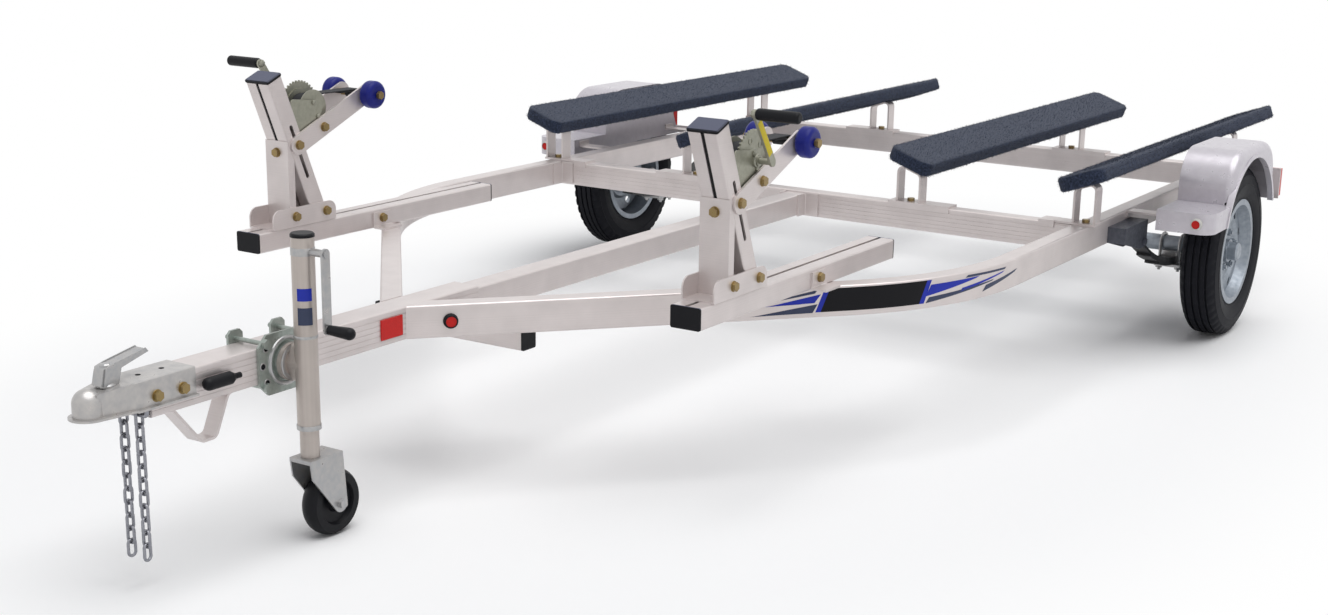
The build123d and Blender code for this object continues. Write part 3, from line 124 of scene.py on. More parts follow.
def finish_with(tree, shader, colours, pattern, roughness, relief, strength, depth):
    """Let one pattern vary the colour and roughness, and another raise the surface by depth mm."""
    tone = add_node(tree, "ShaderNodeMix", {"data_type": "RGBA", 6: colours[0], 7: colours[1]},
                    {0: pattern})
    rough = add_node(tree, "ShaderNodeMapRange", {"To Min": roughness[0], "To Max": roughness[1]},
                     {"Value": pattern})
    bump = add_node(tree, "ShaderNodeBump", {"Strength": strength, "Distance": depth * MM},
                    {"Height": relief})
    for socket, output in (("Base Color", tone.outputs[2]), ("Roughness", rough.outputs["Result"]),
                           ("Normal", bump.outputs["Normal"])):
        tree.links.new(output, shader.inputs[socket])


def mill_aluminium(name, colour, line_pitch, along):
    """Extruded aluminium: die lines along its length, so the light runs down the tubes in soft bands."""
    material, tree, shader, place = new_material(name, 0.5)
    # Real die lines are a few tenths of a millimetre apart; drawn coarser so that they show at all
    across = 1 / (line_pitch * MM)
    drawn_out = 0.0002
    stretch = [across * drawn_out if axis in along else across for axis in "xyz"]
    drawn = add_node(tree, "ShaderNodeMapping", {"Scale": stretch}, {"Vector": place})
    lines = add_node(tree, "ShaderNodeTexNoise", {"Scale": 1.0, "Detail": 3.0, "Roughness": 0.6},
                     {"Vector": drawn.outputs["Vector"]})
    clouds = add_node(tree, "ShaderNodeTexNoise", {"Scale": 1 / (70 * MM), "Detail": 6.0},
                      {"Vector": place})
    mixed = add_node(tree, "ShaderNodeMix", {"data_type": "FLOAT", 0: 0.55},
                     {2: lines.outputs["Fac"], 3: clouds.outputs["Fac"]})
    finish_with(tree, shader, (linear(colour), toned(colour, 0.66)), mixed.outputs[0], (0.26, 0.44),
                lines.outputs["Fac"], 0.12, 0.2)
    return material


def surface_film(name, colour, tint, metallic, roughness, grain):
    """Zinc plate, paint or metal-flake lacquer: an even film with a faint tint in rubbed patches."""
    material, tree, shader, place = new_material(name, metallic)
    patches = add_node(tree, "ShaderNodeTexNoise", {"Scale": 1 / (grain * MM), "Detail": 2.0},
                       {"Vector": place})
    finish_with(tree, shader, (linear(colour), linear(tint)), patches.outputs["Fac"],
                (roughness * 0.75, roughness * 1.3), patches.outputs["Fac"], 0.05, 0.3)
    return material


def moulded_plastic(name, colour, roughness, grain, strength):
    """Moulded polymer: one dyed colour with a fine eroded grain that dulls its highlights."""
    material, tree, shader, place = new_material(name)
    shader.inputs["IOR"].default_value = 1.5
    shader.inputs["Specular IOR Level"].default_value = 0.2
    pits = add_node(tree, "ShaderNodeTexNoise", {"Scale": 1 / (grain * MM), "Detail": 3.0},
                    {"Vector": place})
    finish_with(tree, shader, (linear(colour), toned(colour, 0.7)), pits.outputs["Fac"],
                (roughness * 0.85, roughness * 1.15), pits.outputs["Fac"], strength, 0.4)
    return material


def paint_top_light(material, top_light, most):
    """Painted top light: mix in a paler colour, up to a share, where the surface faces the sky, for the
    overhead light that falls brighter there.
    """
    tree = material.node_tree
    facing = add_node(tree, "ShaderNodeNewGeometry").outputs["Normal"]
    height = add_node(tree, "ShaderNodeSeparateXYZ", links={0: facing}).outputs["Z"]
    share = add_node(tree, "ShaderNodeMapRange", {"From Min": 0.3, "From Max": 0.85, "To Max": most},
                     {"Value": height})
    shader = tree.nodes["Principled BSDF"]
    plain = shader.inputs["Base Color"].links[0].from_socket
    tone = add_node(tree, "ShaderNodeMix", {"data_type": "RGBA", 7: linear(top_light)},
                    {0: share.outputs["Result"], 6: plain})
    tree.links.new(tone.outputs[2], shader.inputs["Base Color"])
    return material


def vulcanised_rubber(name, colour):
    """Road rubber: near black, dull, with a dusty bloom that greys it in patches."""
    material, tree, shader, place = new_material(name)
    shader.inputs["Specular IOR Level"].default_value = 0.15
    bloom = add_node(tree, "ShaderNodeTexNoise", {"Scale": 1 / (35 * MM), "Detail": 8.0, "Roughness": 0.7},
                     {"Vector": place})
    pits = add_node(tree, "ShaderNodeTexNoise", {"Scale": 1 / (1.6 * MM), "Detail": 2.0}, {"Vector": place})
    finish_with(tree, shader, (linear(colour), toned(colour, 1.8, 0.003)), bloom.outputs["Fac"],
                (0.48, 0.72), pits.outputs["Fac"], 0.18, 0.3)
    return material


def marine_carpet(name, colour):
    """Cut-pile carpet: dark dull tufts with pale tips, so the surface looks speckled and soft."""
    material, tree, shader, place = new_material(name)
    shader.inputs["Sheen Weight"].default_value = 0.08
    shader.inputs["Sheen Roughness"].default_value = 0.6
    shader.inputs["Specular IOR Level"].default_value = 0.1
    # Real tufts are about 2 mm across; drawn coarser so that they show
    tufts = add_node(tree, "ShaderNodeTexNoise",
                     {"Scale": 1 / (4.5 * MM), "Detail": 6.0, "Roughness": 0.75}, {"Vector": place})
    spread = add_node(tree, "ShaderNodeMapRange", {"From Min": 0.36, "From Max": 0.66},
                      {"Value": tufts.outputs["Fac"]})
    finish_with(tree, shader, (toned(colour, 0.22), toned(colour, 1.9)), spread.outputs["Result"],
                (0.88, 1.0), tufts.outputs["Fac"], 0.9, 2.0)
    return material


def polyester_webbing(name, colour):
    """Woven strap: fine slanted ribs that catch the light across the band."""
    material, tree, shader, place = new_material(name)
    # Real ribs are about 1 mm apart; drawn at about 2 mm so that they show
    rib_pitch = 2 * MM
    band_unit = 0.314  # about how far apart a wave texture's bands are at scale 1
    ribs = add_node(tree, "ShaderNodeTexWave",
                    {"wave_type": "BANDS", "bands_direction": "DIAGONAL", "Scale": band_unit / rib_pitch,
                     "Distortion": 1.5, "Detail": 2.0}, {"Vector": place})
    finish_with(tree, shader, (linear(colour), toned(colour, 3.0, 0.008)), ribs.outputs["Fac"],
                (0.7, 0.9), ribs.outputs["Fac"], 0.6, 0.5)
    return material


def studio_paper(colour):
    """Matt white studio paper: holds the object's shadow and goes to plain white further out."""
    material, tree, shader, place = new_material("studio_paper")
    shader.inputs["Base Color"].default_value = linear(colour)
    shader.inputs["Roughness"].default_value = 0.9
    shader.inputs["Specular IOR Level"].default_value = 0.0
    # The trailer is longer than it is wide, so distances along X count for less
    squeeze, fade_start, fade_end = (0.62, 1.0, 1.0), 1.3, 2.0
    spot = add_node(tree, "ShaderNodeVectorMath", {"operation": "MULTIPLY", 1: squeeze}, {0: place})
    reach = add_node(tree, "ShaderNodeVectorMath", {"operation": "LENGTH"}, {0: spot.outputs[0]})
    far = add_node(tree, "ShaderNodeMapRange",
                   {"interpolation_type": "SMOOTHSTEP", "From Min": fade_start, "From Max": fade_end},
                   {"Value": reach.outputs["Value"]})
    seen = seen_rays(tree)
    share = add_node(tree, "ShaderNodeMath", {"operation": "MULTIPLY"}, {0: far.outputs["Result"], 1: seen})
    white = add_node(tree, "ShaderNodeEmission", {"Color": (1, 1, 1, 1), "Strength": 1.0})
    mix = add_node(tree, "ShaderNodeMixShader", links={0: share.outputs[0], 1: shader.outputs["BSDF"],
                                                       2: white.outputs[0]})
    tree.links.new(mix.outputs[0], tree.nodes["Material Output"].inputs["Surface"])
    return material


def seen_rays(tree):
    """1 for the rays by which the background is seen, straight, mirrored or through glass."""
    path = add_node(tree, "ShaderNodeLightPath")
    seen = add_node(tree, "ShaderNodeMath", {"operation": "MAXIMUM"},
                    {0: path.outputs["Is Camera Ray"], 1: path.outputs["Is Glossy Ray"]})
    return add_node(tree, "ShaderNodeMath", {"operation": "MAXIMUM"},
                    {0: seen.outputs[0], 1: path.outputs["Is Transmission Ray"]}).outputs[0]


def printed_film(name, colour):
    """Printed vinyl film: an even satin colour with slight waviness where it is stretched."""
    material, tree, shader, place = new_material(name)
    shader.inputs["IOR"].default_value = 1.46
    shader.inputs["Specular IOR Level"].default_value = 0.2
    waves = add_node(tree, "ShaderNodeTexNoise", {"Scale": 1 / (25 * MM), "Detail": 2.0}, {"Vector": place})
    finish_with(tree, shader, (linear(colour), toned(colour, 0.8)), waves.outputs["Fac"], (0.30, 0.42),
                waves.outputs["Fac"], 0.05, 0.5)
    return material


class TRAILER_PG_finishes(bpy.types.PropertyGroup):
    """Colours of the trailer's finishes, as sRGB hex."""
    aluminium: bpy.props.StringProperty(
        name="Aluminium", description="Colour of the mill-finish extrusions", default="#E8DFDD")
    zinc: bpy.props.StringProperty(
        name="Zinc", description="Colour of the bright zinc plate", default="#BDB9B5")
    dull_zinc: bpy.props.StringProperty(
        name="Dull zinc", description="Colour of the winches", default="#A8A698")
    yellow_zinc: bpy.props.StringProperty(
        name="Yellow zinc", description="Colour of the bolts", default="#9C8B56")
    rubber: bpy.props.StringProperty(
        name="Rubber", description="Colour of the tyres", default="#0D0E14")
    carpet: bpy.props.StringProperty(
        name="Carpet", description="Colour of the bunk carpet", default="#2F374A")
    # Paler colour painted on the carpet's upward faces: painted top light.
    top_light_carpet: bpy.props.StringProperty(
        name="Carpet top light", description="Colour painted on the carpet's upward faces for the light falling on them", default="#70747F")
    webbing: bpy.props.StringProperty(
        name="Webbing", description="Colour of the winch straps", default="#0E0F13")
    dark_film: bpy.props.StringProperty(
        name="Dark film", description="Colour of the wide stripe on the rail", default="#0B0B11")
    blue_film: bpy.props.StringProperty(
        name="Blue film", description="Colour of the blue stripes", default="#2B3AB5")
    slate_film: bpy.props.StringProperty(
        name="Slate film", description="Colour of the grey stripes", default="#454D66")
    strip: bpy.props.StringProperty(
        name="Crank strip", description="Colour of the strip on the crank", default="#DCC62E")


class TRAILER_PG_fittings(bpy.types.PropertyGroup):
    """Sizes of the soft fittings."""
    bunk_length: bpy.props.FloatProperty(
        name="Bunk length", description="Length of a bunk board", default=1.72, unit="LENGTH")
    bunk_width: bpy.props.FloatProperty(
        name="Bunk width", description="Width of a bunk board", default=0.140, unit="LENGTH")
    bunk_thick: bpy.props.FloatProperty(
        name="Bunk thickness", description="Thickness of a bunk board", default=0.042, unit="LENGTH")
    pile: bpy.props.FloatProperty(
        name="Pile", description="Height of the carpet's stray pile", default=0.0040, unit="LENGTH")
    pile_count: bpy.props.IntProperty(
        name="Pile count", description="Stray tufts on one bunk", default=26000, min=0)
    web_width: bpy.props.FloatProperty(
        name="Strap width", description="Width of the winch straps", default=0.042, unit="LENGTH")
    web_thick: bpy.props.FloatProperty(
        name="Strap thickness", description="Thickness of the winch straps", default=0.003, unit="LENGTH")


class TRAILER_PG_stage(bpy.types.PropertyGroup):
    """Camera and floor of the studio."""
    eye: bpy.props.FloatVectorProperty(
        name="Eye", description="Where the camera stands", default=(4.319, 2.660, 1.391),
        subtype="TRANSLATION", unit="LENGTH")
    yaw: bpy.props.FloatProperty(
        name="Yaw", description="Turn of the view from straight aft", default=math.radians(31.92),
        unit="ROTATION")
    pitch: bpy.props.FloatProperty(
        name="Pitch", description="How far the view looks down", default=math.radians(15.07),
        unit="ROTATION")
    roll: bpy.props.FloatProperty(
        name="Roll", description="Tilt of the picture", default=math.radians(1.14), unit="ROTATION")
    lens: bpy.props.FloatProperty(
        name="Lens", description="Focal length on a 36 mm wide sensor", default=49.2, unit="CAMERA")
    shift: bpy.props.FloatVectorProperty(
        name="Shift", description="Lens shift as a share of the picture width",
        default=(-0.0244, 0.0315), size=2)
    floor: bpy.props.StringProperty(
        name="Floor", description="sRGB hex of the floor", default="#FDFDFD")


class TRAILER_OT_finish_cad(bpy.types.Operator):
    """Give every solid its own finish or the finish of its material slot"""
    bl_idname = "trailer.finish_cad"
    bl_label = "Finish the solids"

    def execute(self, context):
        paint = context.scene.trailer_finishes
        slot_finish = {
            "aluminium": mill_aluminium("mill_finish_aluminium", paint.aluminium, 2.5, "xy"),
            "zinc_steel": surface_film("bright_zinc_plate", paint.zinc, "#9DA1A6", 0.7, 0.3, 14),
            "dull_zinc": surface_film("dull_zinc_plate", paint.dull_zinc, "#8F9184", 0.8, 0.42, 10),
            "yellow_zinc": surface_film("yellow_zinc_plate", paint.yellow_zinc, "#8A7256", 0.8, 0.3, 6),
            "galvanised": surface_film("hot_dip_galvanise", "#A9AFB6", "#868E98", 0.7, 0.45, 12),
            "black_steel": surface_film("black_painted_steel", "#0F1014", "#1B1C20", 0.0, 0.45, 8),
            "tyre_rubber": vulcanised_rubber("vulcanised_rubber", paint.rubber),
            "black_plastic": moulded_plastic("black_polypropylene", "#0C0D13", 0.45, 0.8, 0.15),
            "blue_polymer": moulded_plastic("blue_polyurethane", "#1F2786", 0.35, 3.0, 0.1),
            "carpet": marine_carpet("marine_carpet", paint.carpet),
            "strap_webbing": polyester_webbing("polyester_webbing", paint.webbing),
            "fender_plastic": surface_film("silver_fender_abs", "#D2CED4", "#C0BBC2", 0.35, 0.3, 20),
            "red_lens": moulded_plastic("red_acrylic_lens", "#D8211E", 0.2, 3.0, 0.1),
        }
        plugs = moulded_plastic("black_polyethylene_plugs", "#0C0D13", 0.5, 0.8, 0.15)
        # Streaks along Z on the jack's tube and leg: the tube's drawing lines, and painted reflection
        # standing for the long light and dark streaks down it.
        drawn = mill_aluminium("drawn_zinc_with_painted_reflection_streaks", "#C9BFB8", 6, "z")
        own_finish = {
            # Paler blue-grey painted on the caps' upward faces: painted top light.
            "end_caps": paint_top_light(plugs, "#5E6276", 0.9),
            "spring_hangers": surface_film("dark_hanger_steel", "#5A5D67", "#3A3D46", 0.4, 0.42, 9),
            "coupler": surface_film("cream_zinc_coupler", "#CBC6C1", "#A4A4A6", 0.55, 0.3, 16),
            "jack_mount": surface_film("green_zinc_clamp", "#B2B9B3", "#7F8983", 0.6, 0.3, 11),
            "jack_tube": drawn,
            "jack_leg": drawn,
        }
        slots = {part["node"]: part["material_slot"] for part in frame["record"]["subparts"]}
        for node, solid in frame["nodes"].items():
            solid.data.materials.clear()
            solid.data.materials.append(own_finish.get(node, slot_finish[slots[node]]))
        return {"FINISHED"}


def at(x, y, z):
    """A point of the scene from millimetres in the part's own datum."""
    return Vector(((x - DATUM_X) * MM, y * MM, z * MM))


def new_piece(name, mesh_data, finish, body="trailer_frame", nodes=(), sharp=38):
    """One piece from a bmesh: smooth but for its sharp edges, riding on its body."""
    mesh = bpy.data.meshes.new(name)
    bmesh.ops.recalc_face_normals(mesh_data, faces=mesh_data.faces)
    mesh_data.to_mesh(mesh)
    mesh_data.free()
    mesh.shade_smooth()
    mesh.set_sharp_from_angle(angle=math.radians(sharp))
    mesh.materials.append(finish)
    piece = bpy.data.objects.new(name, mesh)
    bpy.context.scene.collection.objects.link(piece)
    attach(piece, body)
    if nodes:
        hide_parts(*nodes)
    return piece


def bridge(shape, rings, closed):
    """Faces between rings of as many points each, and end faces on an open run."""
    loops = [[shape.verts.new(p) for p in ring] for ring in rings]
    for one, two in zip(loops, loops[1:] + loops[:1] if closed else loops[1:]):
        for k in range(len(one)):
            n = (k + 1) % len(one)
            shape.faces.new((one[k], one[n], two[n], two[k]))
    if not closed:
        shape.faces.new(loops[0])
        shape.faces.new(loops[-1])


def swept(shape, path, normal, section, closed=False):
    """Run a section along a flat path; section points are metres (along the normal, outward)."""
    rings = []
    for i, point in enumerate(path):
        before = path[i - 1] if closed or i else point
        after = path[(i + 1) % len(path)] if closed or i + 1 < len(path) else point
        outward = (after - before).normalized().cross(normal)
        rings.append([point + normal * a + outward * b for a, b in section])
    bridge(shape, rings, closed)


def round_section(radius, sides):
    """Points of a round bar's section."""
    return [(radius * math.cos(2 * math.pi * k / sides), radius * math.sin(2 * math.pi * k / sides))
            for k in range(sides)]


def turned(shape, contour, centre, axis, segments, ripple=None):
    """Turn a closed contour of (radius, along) millimetres about an axis through the centre."""
    axis = Vector(axis).normalized()
    first = axis.orthogonal().normalized()
    second = axis.cross(first)
    rings = []
    for i in range(segments):
        angle = 2 * math.pi * i / segments
        out = first * math.cos(angle) + second * math.sin(angle)
        rings.append([centre + out * ((r - (ripple(i, k) if ripple else 0)) * MM) + axis * (a * MM)
                      for k, (r, a) in enumerate(contour)])
    bridge(shape, rings, True)


def washer(shape, centre, axis, bore, radius, thick, segments=28):
    """A flat ring with an eased outer edge, rising from the centre along the axis; sizes in mm."""
    ease = thick * 0.3
    turned(shape, [(bore, 0), (radius, 0), (radius, thick - ease), (radius - ease, thick), (bore, thick)],
           centre, axis, segments)


class TRAILER_OT_bunks(bpy.types.Operator):
    """Wrap the four bunk boards in carpet"""
    bl_idname = "trailer.bunks"
    bl_label = "Carpet the bunks"

    def execute(self, context):
        fit, paint = context.scene.trailer_fittings, context.scene.trailer_finishes
        # The carpet's upward faces are painted paler: painted top light.
        finish = paint_top_light(marine_carpet("cut_pile_marine_carpet", paint.carpet), paint.top_light_carpet, 0.4)
        # Y and Z of a board's middle, X of its front end, and its tilt in degrees
        places = {"outer": (926.0, 559.0, 742.0, 20.0), "inner": (377.0, 548.0, 686.0, -20.0)}
        for which, (y, z, front, tilt) in places.items():
            for side, sign in SIDES.items():
                node = f"bunk_{which}_{side}"
                stand = (Matrix.Translation(at(front - fit.bunk_length / MM / 2, sign * y, z))
                         @ Matrix.Rotation(math.radians(sign * tilt), 4, "X"))
                shape = bmesh.new()
                shell = self.cloth(shape, fit, stand)
                self.pile(shape, fit, stand, shell, random.Random(node))
                new_piece(f"carpeted_{node}", shape, finish, nodes=(node,), sharp=80)
        return {"FINISHED"}

    def cloth(self, shape, fit, stand):
        """Lumpy cloth over rounded edges and clipped ends; gives its points and the ways they face."""
        half_l, half_w, half_t = fit.bunk_length / 2, fit.bunk_width / 2, fit.bunk_thick / 2
        edge, clip, step, spacing = 9 * MM, 20 * MM, 8 * MM, 7 * MM
        coarse, fine, lump_height, tucked_in = 90, 330, 0.9 * MM, 0.12
        section = []
        for cy, cz, start in ((1, 1, 0), (-1, 1, 90), (-1, -1, 180), (1, -1, 270)):
            corner = Vector((cy * (half_w - edge), cz * (half_t - edge)))
            for k in range(4):
                a = math.radians(start + 30 * k)
                out = Vector((math.cos(a), math.sin(a)))
                section.append((corner + out * edge, out))
        loop = []
        for (p, n), (q, m) in zip(section, section[1:] + section[:1]):
            parts = max(1, round((q - p).length / spacing))
            loop += [(p.lerp(q, k / parts), n.lerp(m, k / parts).normalized()) for k in range(parts)]
        count = round(2 * half_l / step)
        rings, shell = [], []
        for i in range(count + 1):
            x = -half_l + 2 * half_l * i / count
            short = max(0.0, clip - (half_l - abs(x)))
            narrow = (half_w - short) / half_w
            tuck = 1 - tucked_in * max(0.0, 1 - (half_l - abs(x)) / edge) ** 2
            ring = []
            for p, n in loop:
                spot = Vector((x, p.x * narrow * tuck, p.y * tuck))
                out = Vector((0, n.x, n.y))
                lump = noise.noise(spot * coarse) + noise.noise(spot * fine)
                spot += out * (lump * lump_height)
                ring.append(stand @ spot)
                shell.append((spot, out))
            rings.append(ring)
        bridge(shape, rings, False)
        return shell

    def pile(self, shape, fit, stand, shell, chance):
        """Stray tufts, one thin triangle each, strewn about the points of the cloth."""
        strewn, lean, half_wide, shortest = 4 * MM, 0.7, 0.5 * MM, 0.5
        for _ in range(fit.pile_count):
            spot, out = shell[chance.randrange(len(shell))]
            stray = Vector([chance.uniform(-1, 1) for _ in range(3)])
            root = spot + (stray - out * stray.dot(out)) * strewn
            tip = root + (out + stray * lean) * chance.uniform(shortest, 1.0) * fit.pile
            across = out.cross(stray).normalized() * half_wide
            shape.faces.new([shape.verts.new(stand @ p) for p in (root - across, root + across, tip)])


class TRAILER_OT_tyres(bpy.types.Operator):
    """Mould the road tyres with grooves, shoulder notches and sidewall rings"""
    bl_idname = "trailer.tyres"
    bl_label = "Mould the tyres"

    def execute(self, context):
        finish = vulcanised_rubber("vulcanised_road_rubber", context.scene.trailer_finishes.rubber)
        # Half of the section: the bead, the sidewall with its three rings, then the shoulder
        half = [(150.2, 34.0), (150.2, 41.5), (161.5, 42.5), (164.0, 44.0), (170.0, 47.2),
                (171.2, 48.5), (174.0, 48.8), (175.2, 49.4), (185.0, 52.7), (199.0, 55.8),
                (207.5, 56.6), (208.5, 57.6), (211.0, 57.7), (212.0, 56.8), (225.0, 55.3),
                (233.0, 53.5), (234.0, 54.1), (236.5, 53.8), (238.0, 52.0), (246.5, 49.0),
                (254.5, 43.5), (258.0, 39.5)]
        for groove in (31.5, 10.5):
            half += [(259.8, groove + 3.6), (259.2, groove + 2.9), (253.8, groove + 2.2),
                     (253.8, groove - 2.2), (259.2, groove - 2.9), (260.0, groove - 3.6)]
        contour = half + [(r, -a) for r, a in reversed(half)]
        tread_edge, segments, block = 36.0, 240, 5
        notched = {k for k, (r, a) in enumerate(contour) if r > 246 and tread_edge < abs(a) < 50}
        siped = {k for k, (r, a) in enumerate(contour) if r > 258.5 and abs(a) < tread_edge}
        notch_depth, sipe_depth = 4.5, 1.2

        def ripple(i, k):
            if k in notched:
                return notch_depth if i % block < 2 else 0.0
            return sipe_depth if k in siped and i % block == 0 else 0.0

        for side, sign in SIDES.items():
            shape = bmesh.new()
            centre = at(WHEEL_X, sign * WHEEL_Y, WHEEL_Z)
            turned(shape, contour, centre, (0, sign, 0), segments, ripple)
            new_piece(f"road_tyre_{side}", shape, finish, f"wheel_{side}",
                      (f"tyre_{side}",), 30)
        return {"FINISHED"}


class TRAILER_OT_straps(bpy.types.Operator):
    """Wind the winch straps on their drums and loop them round the roller pins"""
    bl_idname = "trailer.straps"
    bl_label = "Wind the winch straps"

    def execute(self, context):
        fit = context.scene.trailer_fittings
        finish = polyester_webbing("woven_polyester_webbing", context.scene.trailer_finishes.webbing)
        wide, thick = fit.web_width / 2, fit.web_thick / 2
        soft = 0.4 * thick
        section = [(wide, -thick + soft), (wide, thick - soft), (wide - soft, thick),
                   (soft - wide, thick), (-wide, thick - soft), (-wide, soft - thick),
                   (soft - wide, -thick), (wide - soft, -thick)]
        run = self.route(thick / MM)
        shape = bmesh.new()
        for sign in SIDES.values():
            swept(shape, [at(p.x, sign * SKI_Y, p.y) for p in run], Vector((0, 1, 0)), section)
        new_piece("wound_winch_straps", shape, finish, nodes=("winch_straps",))
        return {"FINISHED"}

    def route(self, half_thick):
        """The strap's middle line in X and Z: its coil, the run to the pin, the loop and the sewn tail."""
        core, outer, lay, steps_per_turn = 10.0, 34.2, 3.3, 36
        turns = (outer - core) / lay
        last = math.radians(90)
        steps = round(turns * steps_per_turn)
        run = []
        for i in range(steps + 1):
            a = last - 2 * math.pi * turns * (1 - i / steps)
            run.append(DRUM + (core + lay * turns * i / steps) * Vector((math.cos(a), math.sin(a))))
        pin_radius, loop_points, loop_step = 9.2, 27, 10.5
        hug = pin_radius + half_thick
        for i in range(loop_points):
            a = last + math.radians(loop_step * i)
            run.append(ROLLER_PIN + hug * Vector((math.cos(a), math.sin(a))))
        gap, tail_points, tail_step, first_dip = 0.3, 7, 10, 5.5
        under = 2 * half_thick + gap
        for k in range(1, tail_points + 1):
            dip = first_dip if k == 1 else 0
            run.append(ROLLER_PIN + Vector((tail_step * k, hug - under - dip)))
        return run


class TRAILER_OT_chains(bpy.types.Operator):
    """Bend the chain links from round bar and hang them on their hook"""
    bl_idname = "trailer.chains"
    bl_label = "Hang the chains"

    def execute(self, context):
        finish = surface_film("zinc_plated_chain", "#A9AAB0", "#75767E", 0.75, 0.3, 4)
        shape = bmesh.new()
        self.links(shape)
        self.hook(shape)
        new_piece("round_bar_chains", shape, finish, nodes=("safety_chains",), sharp=60)
        return {"FINISHED"}

    def links(self, shape):
        """Both runs of links, each link a quarter turn from the last and swayed a little."""
        bar, inner, wide, pitch, count = 6.4, 27.4, 23.0, 27.0, 11
        run_y, slack, sway, points = 22.0, 0.4, 7, 28
        bend = (wide - bar) / 2
        straight = (inner + bar) / 2 - bend
        chance = random.Random(5)
        section = round_section(bar / 2 * MM, 10)
        for y in (run_y, -run_y):
            for i in range(count):
                middle = at(HOOK_X, y, HOOK_Z + HOOK_R + slack - inner / 2 - pitch * i)
                turn = chance.uniform(-sway, sway) + (90 if i % 2 else 0)
                twist = Matrix.Rotation(math.radians(turn), 3, "Z")
                path = []
                for k in range(points):
                    a = 2 * math.pi * (k + 0.5) / points
                    reach = straight if math.sin(a) > 0 else -straight
                    flat = Vector((bend * math.cos(a), 0, bend * math.sin(a) + reach)) * MM
                    path.append(middle + twist @ flat)
                swept(shape, path, twist @ Vector((0, 1, 0)), section, closed=True)

    def hook(self, shape):
        """The bent bar under the coupler that both runs hang on."""
        half_y, flange, bend = 44.7, 366.0, 9.0
        shoulder = HOOK_Z + bend
        path = [at(HOOK_X, half_y, flange), at(HOOK_X, half_y, shoulder)]
        for sign, start in ((1, 0), (-1, -90)):
            for k in range(9):
                a = math.radians(start - 11.25 * k)
                y = sign * (half_y - bend) + bend * math.cos(a)
                path.append(at(HOOK_X, y, shoulder + bend * math.sin(a)))
        path += [at(HOOK_X, -half_y, shoulder), at(HOOK_X, -half_y, flange)]
        clean = [p for p, q in zip(path, path[1:]) if (p - q).length > 0.2 * MM] + path[-1:]
        swept(shape, clean, Vector((1, 0, 0)), round_section(HOOK_R * MM, 12))


def rail_face(s):
    """A point on the left rail's outer face, s along it from the tongue, and the way it faces."""
    start, end, bend, out_y = Vector((2468.0, 85.0)), Vector((1781.0, 692.0)), 825.4, 940.0
    ahead = (end - start).normalized()
    turn = math.atan2(ahead.y, -ahead.x)
    corner = start + ahead * ((out_y - start.y) / ahead.y)
    tangent = bend * math.tan(turn / 2)
    straight = (corner - start).length - tangent
    if s < straight:
        return start + ahead * s, Vector((ahead.y, -ahead.x))
    angle = math.pi / 2 - turn + (s - straight) / bend
    face = Vector((math.cos(angle), math.sin(angle)))
    return Vector((corner.x - tangent, out_y - bend)) + face * bend, face


class TRAILER_OT_stripes(bpy.types.Operator):
    """Lay plain slanted stripes of film on the left rail's bend"""
    bl_idname = "trailer.stripes"
    bl_label = "Lay the stripes"

    def execute(self, context):
        paint = context.scene.trailer_finishes
        films = {"dark": (printed_film("dark_vinyl_film", paint.dark_film), "black_plastic"),
                 "blue": (printed_film("blue_vinyl_film", paint.blue_film), "blue_polymer"),
                 "slate": (printed_film("slate_vinyl_film", paint.slate_film), "black_plastic")}
        # film: start, end, low and high at the start, low and high at the end, lean
        bars = [("dark", 912, 1178, 358, 415, 359, 416, 22), ("blue", 899, 912, 358, 415, 358, 415, 22),
                ("blue", 1178, 1192, 359, 416, 359, 416, 22), ("blue", 770, 896, 377, 379, 381, 402, 16),
                ("slate", 735, 892, 355, 356, 357, 378, 12), ("slate", 745, 896, 381, 383, 404, 413, 8),
                ("slate", 800, 860, 378, 379, 379.5, 380, 4), ("blue", 1197, 1370, 376, 404, 401, 405, 16),
                ("slate", 1198, 1440, 359, 373, 384, 387, 10), ("blue", 1310, 1490, 374, 383, 397, 401, 10),
                ("slate", 1330, 1500, 407, 413, 404, 409, 8), ("slate", 1400, 1560, 362, 377, 388, 394, 14)]
        for name, (film, slot) in films.items():
            shape = bmesh.new()
            for kind, start, end, low_a, high_a, low_b, high_b, lean in bars:
                if kind == name:
                    self.bar(shape, start, end, (low_a, high_a), (low_b, high_b), lean)
            new_piece(f"{name}_rail_stripes", shape, film)
        return {"FINISHED"}

    def bar(self, shape, start, end, first, last, lean):
        """One stripe, a thin film that follows the bend."""
        column, seat, proud = 12, 0.05, 0.35
        cols = max(2, round((end - start) / column))
        grid = []
        for lift in (seat, proud):
            for v in (0, 1):
                row = []
                for i in range(cols + 1):
                    u = i / cols
                    z = first[v] + (last[v] - first[v]) * u
                    spot, face = rail_face(start + (end - start) * u + lean * v)
                    spot = spot + face * lift
                    row.append(shape.verts.new(at(spot.x, spot.y, z)))
                grid.append(row)
        low_in, high_in, low_out, high_out = grid
        for one, two in ((low_out, high_out), (low_in, low_out), (high_out, high_in), (high_in, low_in)):
            for i in range(cols):
                shape.faces.new((one[i], one[i + 1], two[i + 1], two[i]))
        shape.faces.new((low_in[0], low_out[0], high_out[0], high_in[0]))
        shape.faces.new((low_in[-1], high_in[-1], high_out[-1], low_out[-1]))


